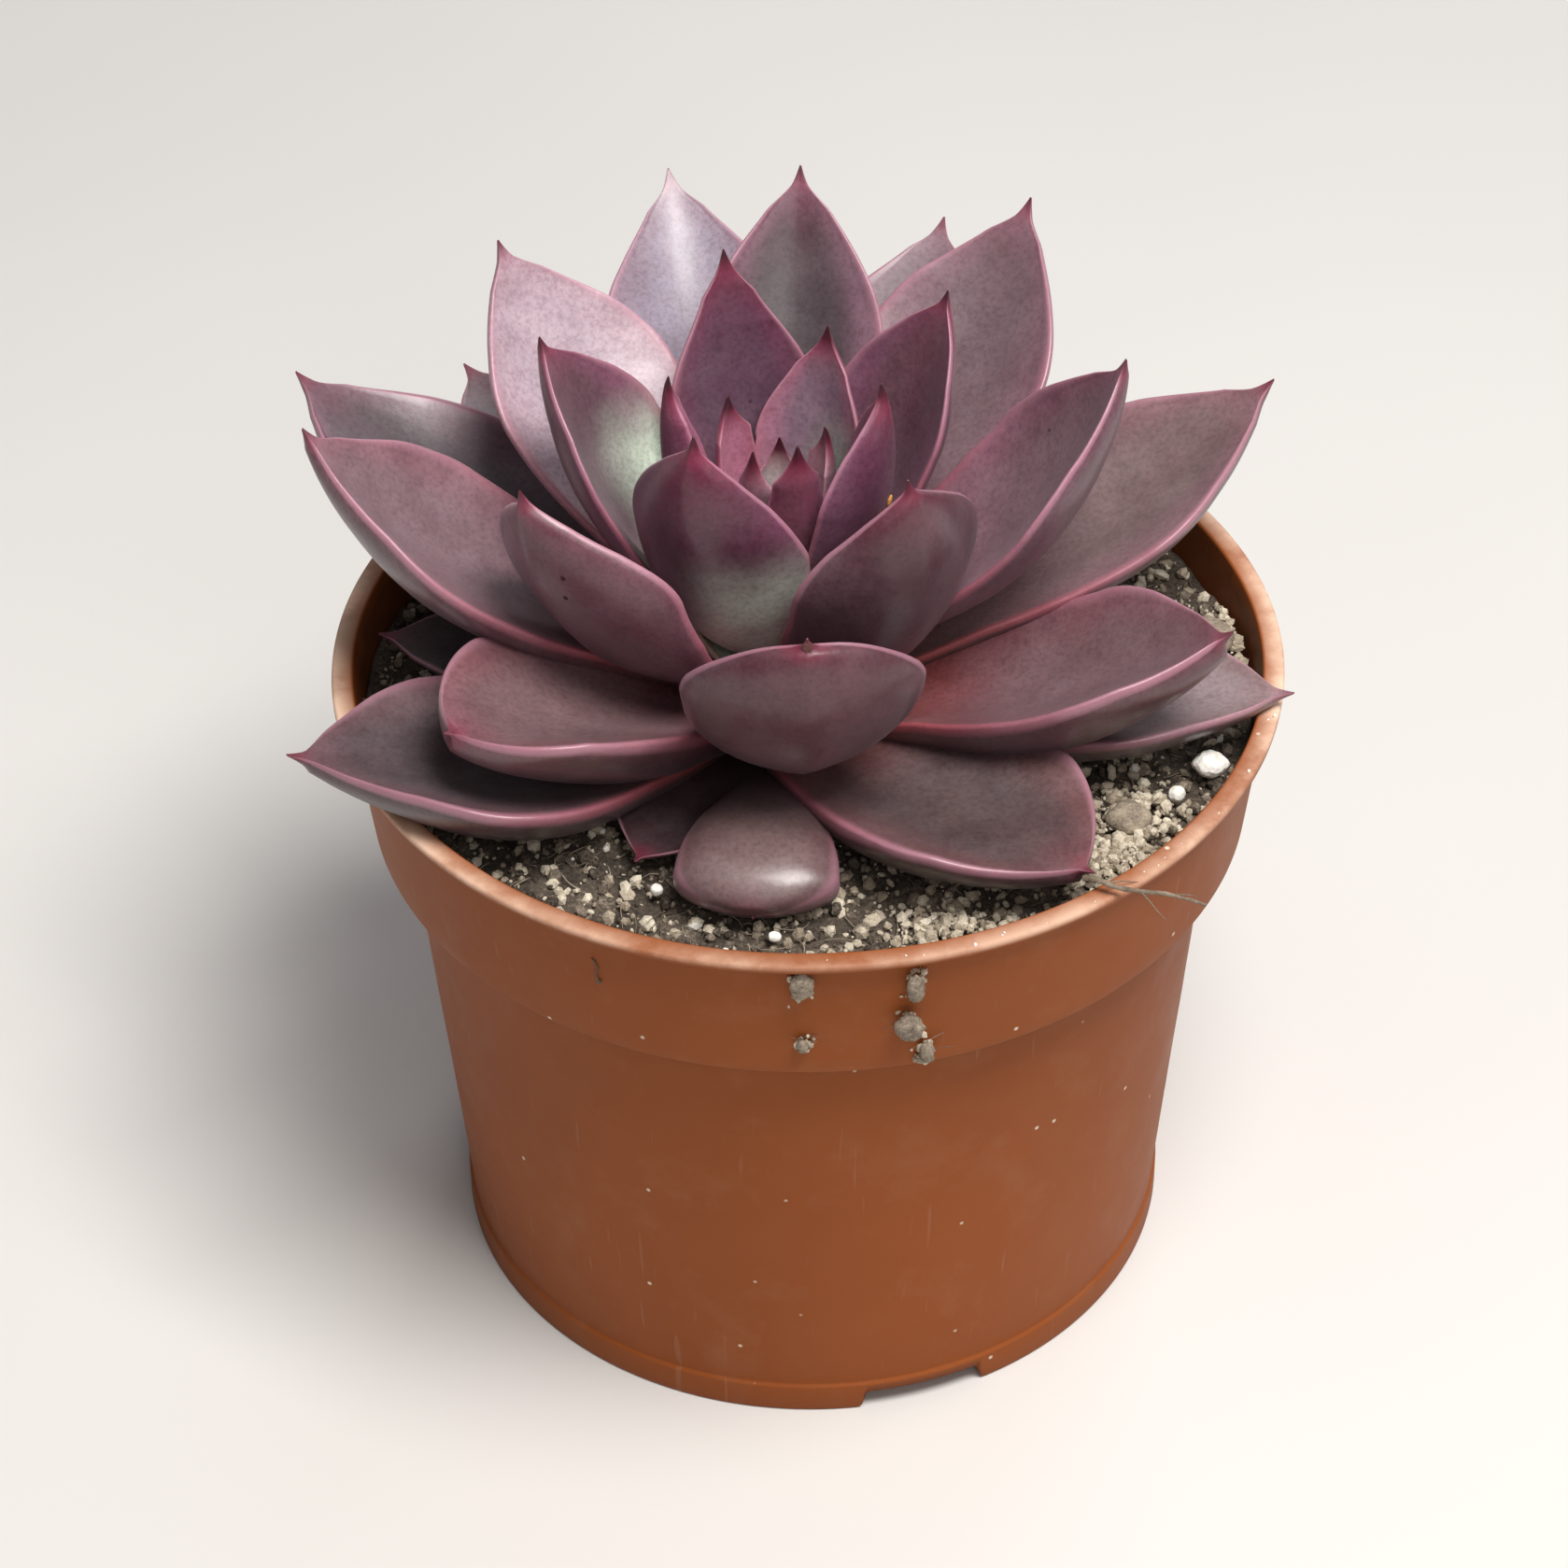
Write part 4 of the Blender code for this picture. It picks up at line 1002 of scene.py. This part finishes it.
def main():
    """Makes every piece."""
    skin = leaf_material()
    plastic = pot_material()
    peat = earth_material("moist_peat", 0.5,
                          [(0.0, "241F1B"), (0.35, "5A5046"), (0.6, "94877A"), (1.0, "C8BCAA")])
    crumbs = earth_material("dry_peat_and_bark", 0.35,
                            [(0.0, "342C26"), (0.3, "7C7064"), (0.6, "AC9E8A"), (1.0, "E8DECA")])
    husk = earth_material("dry_root_fibre", 0.4, [(0.0, "4A4038"), (0.5, "7E7060"), (1.0, "B0A290")])
    stalk = earth_material("woody_stem", 0.8, [(0.0, "4A3A2A"), (0.5, "7C6A44"), (1.0, "9A8C62")])
    scab = earth_material("dried_scab", 0.5,
                          [(0.0, "24101A"), (0.4, "5C3A38"), (0.8, "C08040"), (1.0, "E8B060")])
    white = perlite_material()
    make_studio(floor_material())
    make_pot(plastic)
    make_soil(peat)
    make_stem(stalk)
    for number, row in enumerate(LEAVES, start=1):
        make_leaf(number, row, skin)
    make_scabs(scab)
    scatter("peat_crumbs", 8500, (0.5, 2.8), 0.6, 1, crumbs, "potting_soil", (0.05, 0.95), over_soil)
    scatter("heaped_crumbs", 1400, (0.5, 2.2), 0.5, 4, crumbs, "dry_peat", (0.45, 0.95), over_heaps)
    scatter("white_grit", 130, (0.6, 2.2), 0.4, 2, white, "perlite", (0.5, 0.9), over_soil)
    scatter("lip_grit", 16, (0.25, 0.9), 0.4, 5, white, "perlite", (0.5, 0.9), on_lip)
    fibres("peat_fibres", 650, (1.5, 7.0), 0.09, 3, husk, "dry_root", over_soil)
    stones = (("large", 2.0), ("side", 1.3), ("front", 1.0), ("small", 1.0))
    for seed, (which, cell) in enumerate(stones, start=41):
        lump(f"perlite_stone_{which}", f"perlite_{which}", cell, 0.16, seed, white, "perlite")
    lump("peat_clod_back", "peat_lump_back", 2.2, 0.22, 45, crumbs, "dry_peat", 0.4)
    lump("peat_clod_side", "peat_lump_side", 2.2, 0.22, 46, crumbs, "dry_peat", 0.45)
    for seed, name in enumerate(("crumb_top_left", "crumb_top_right", "crumb_middle", "crumb_low",
                                  "crumb_left_low"), start=51):
        lump("stuck_" + name, name, 1.0, 0.3, seed, crumbs, "dry_peat", 0.4)
    scatter("collar_grit", 110, (0.4, 1.5), 0.5, 6, crumbs, "dry_peat", (0.55, 1.0), on_collar)
    fibres("collar_fibres", 26, (1.5, 5.0), 0.05, 7, husk, "dry_root", on_collar)
    make_root(husk)
    make_hair(husk)
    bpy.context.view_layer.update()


main()
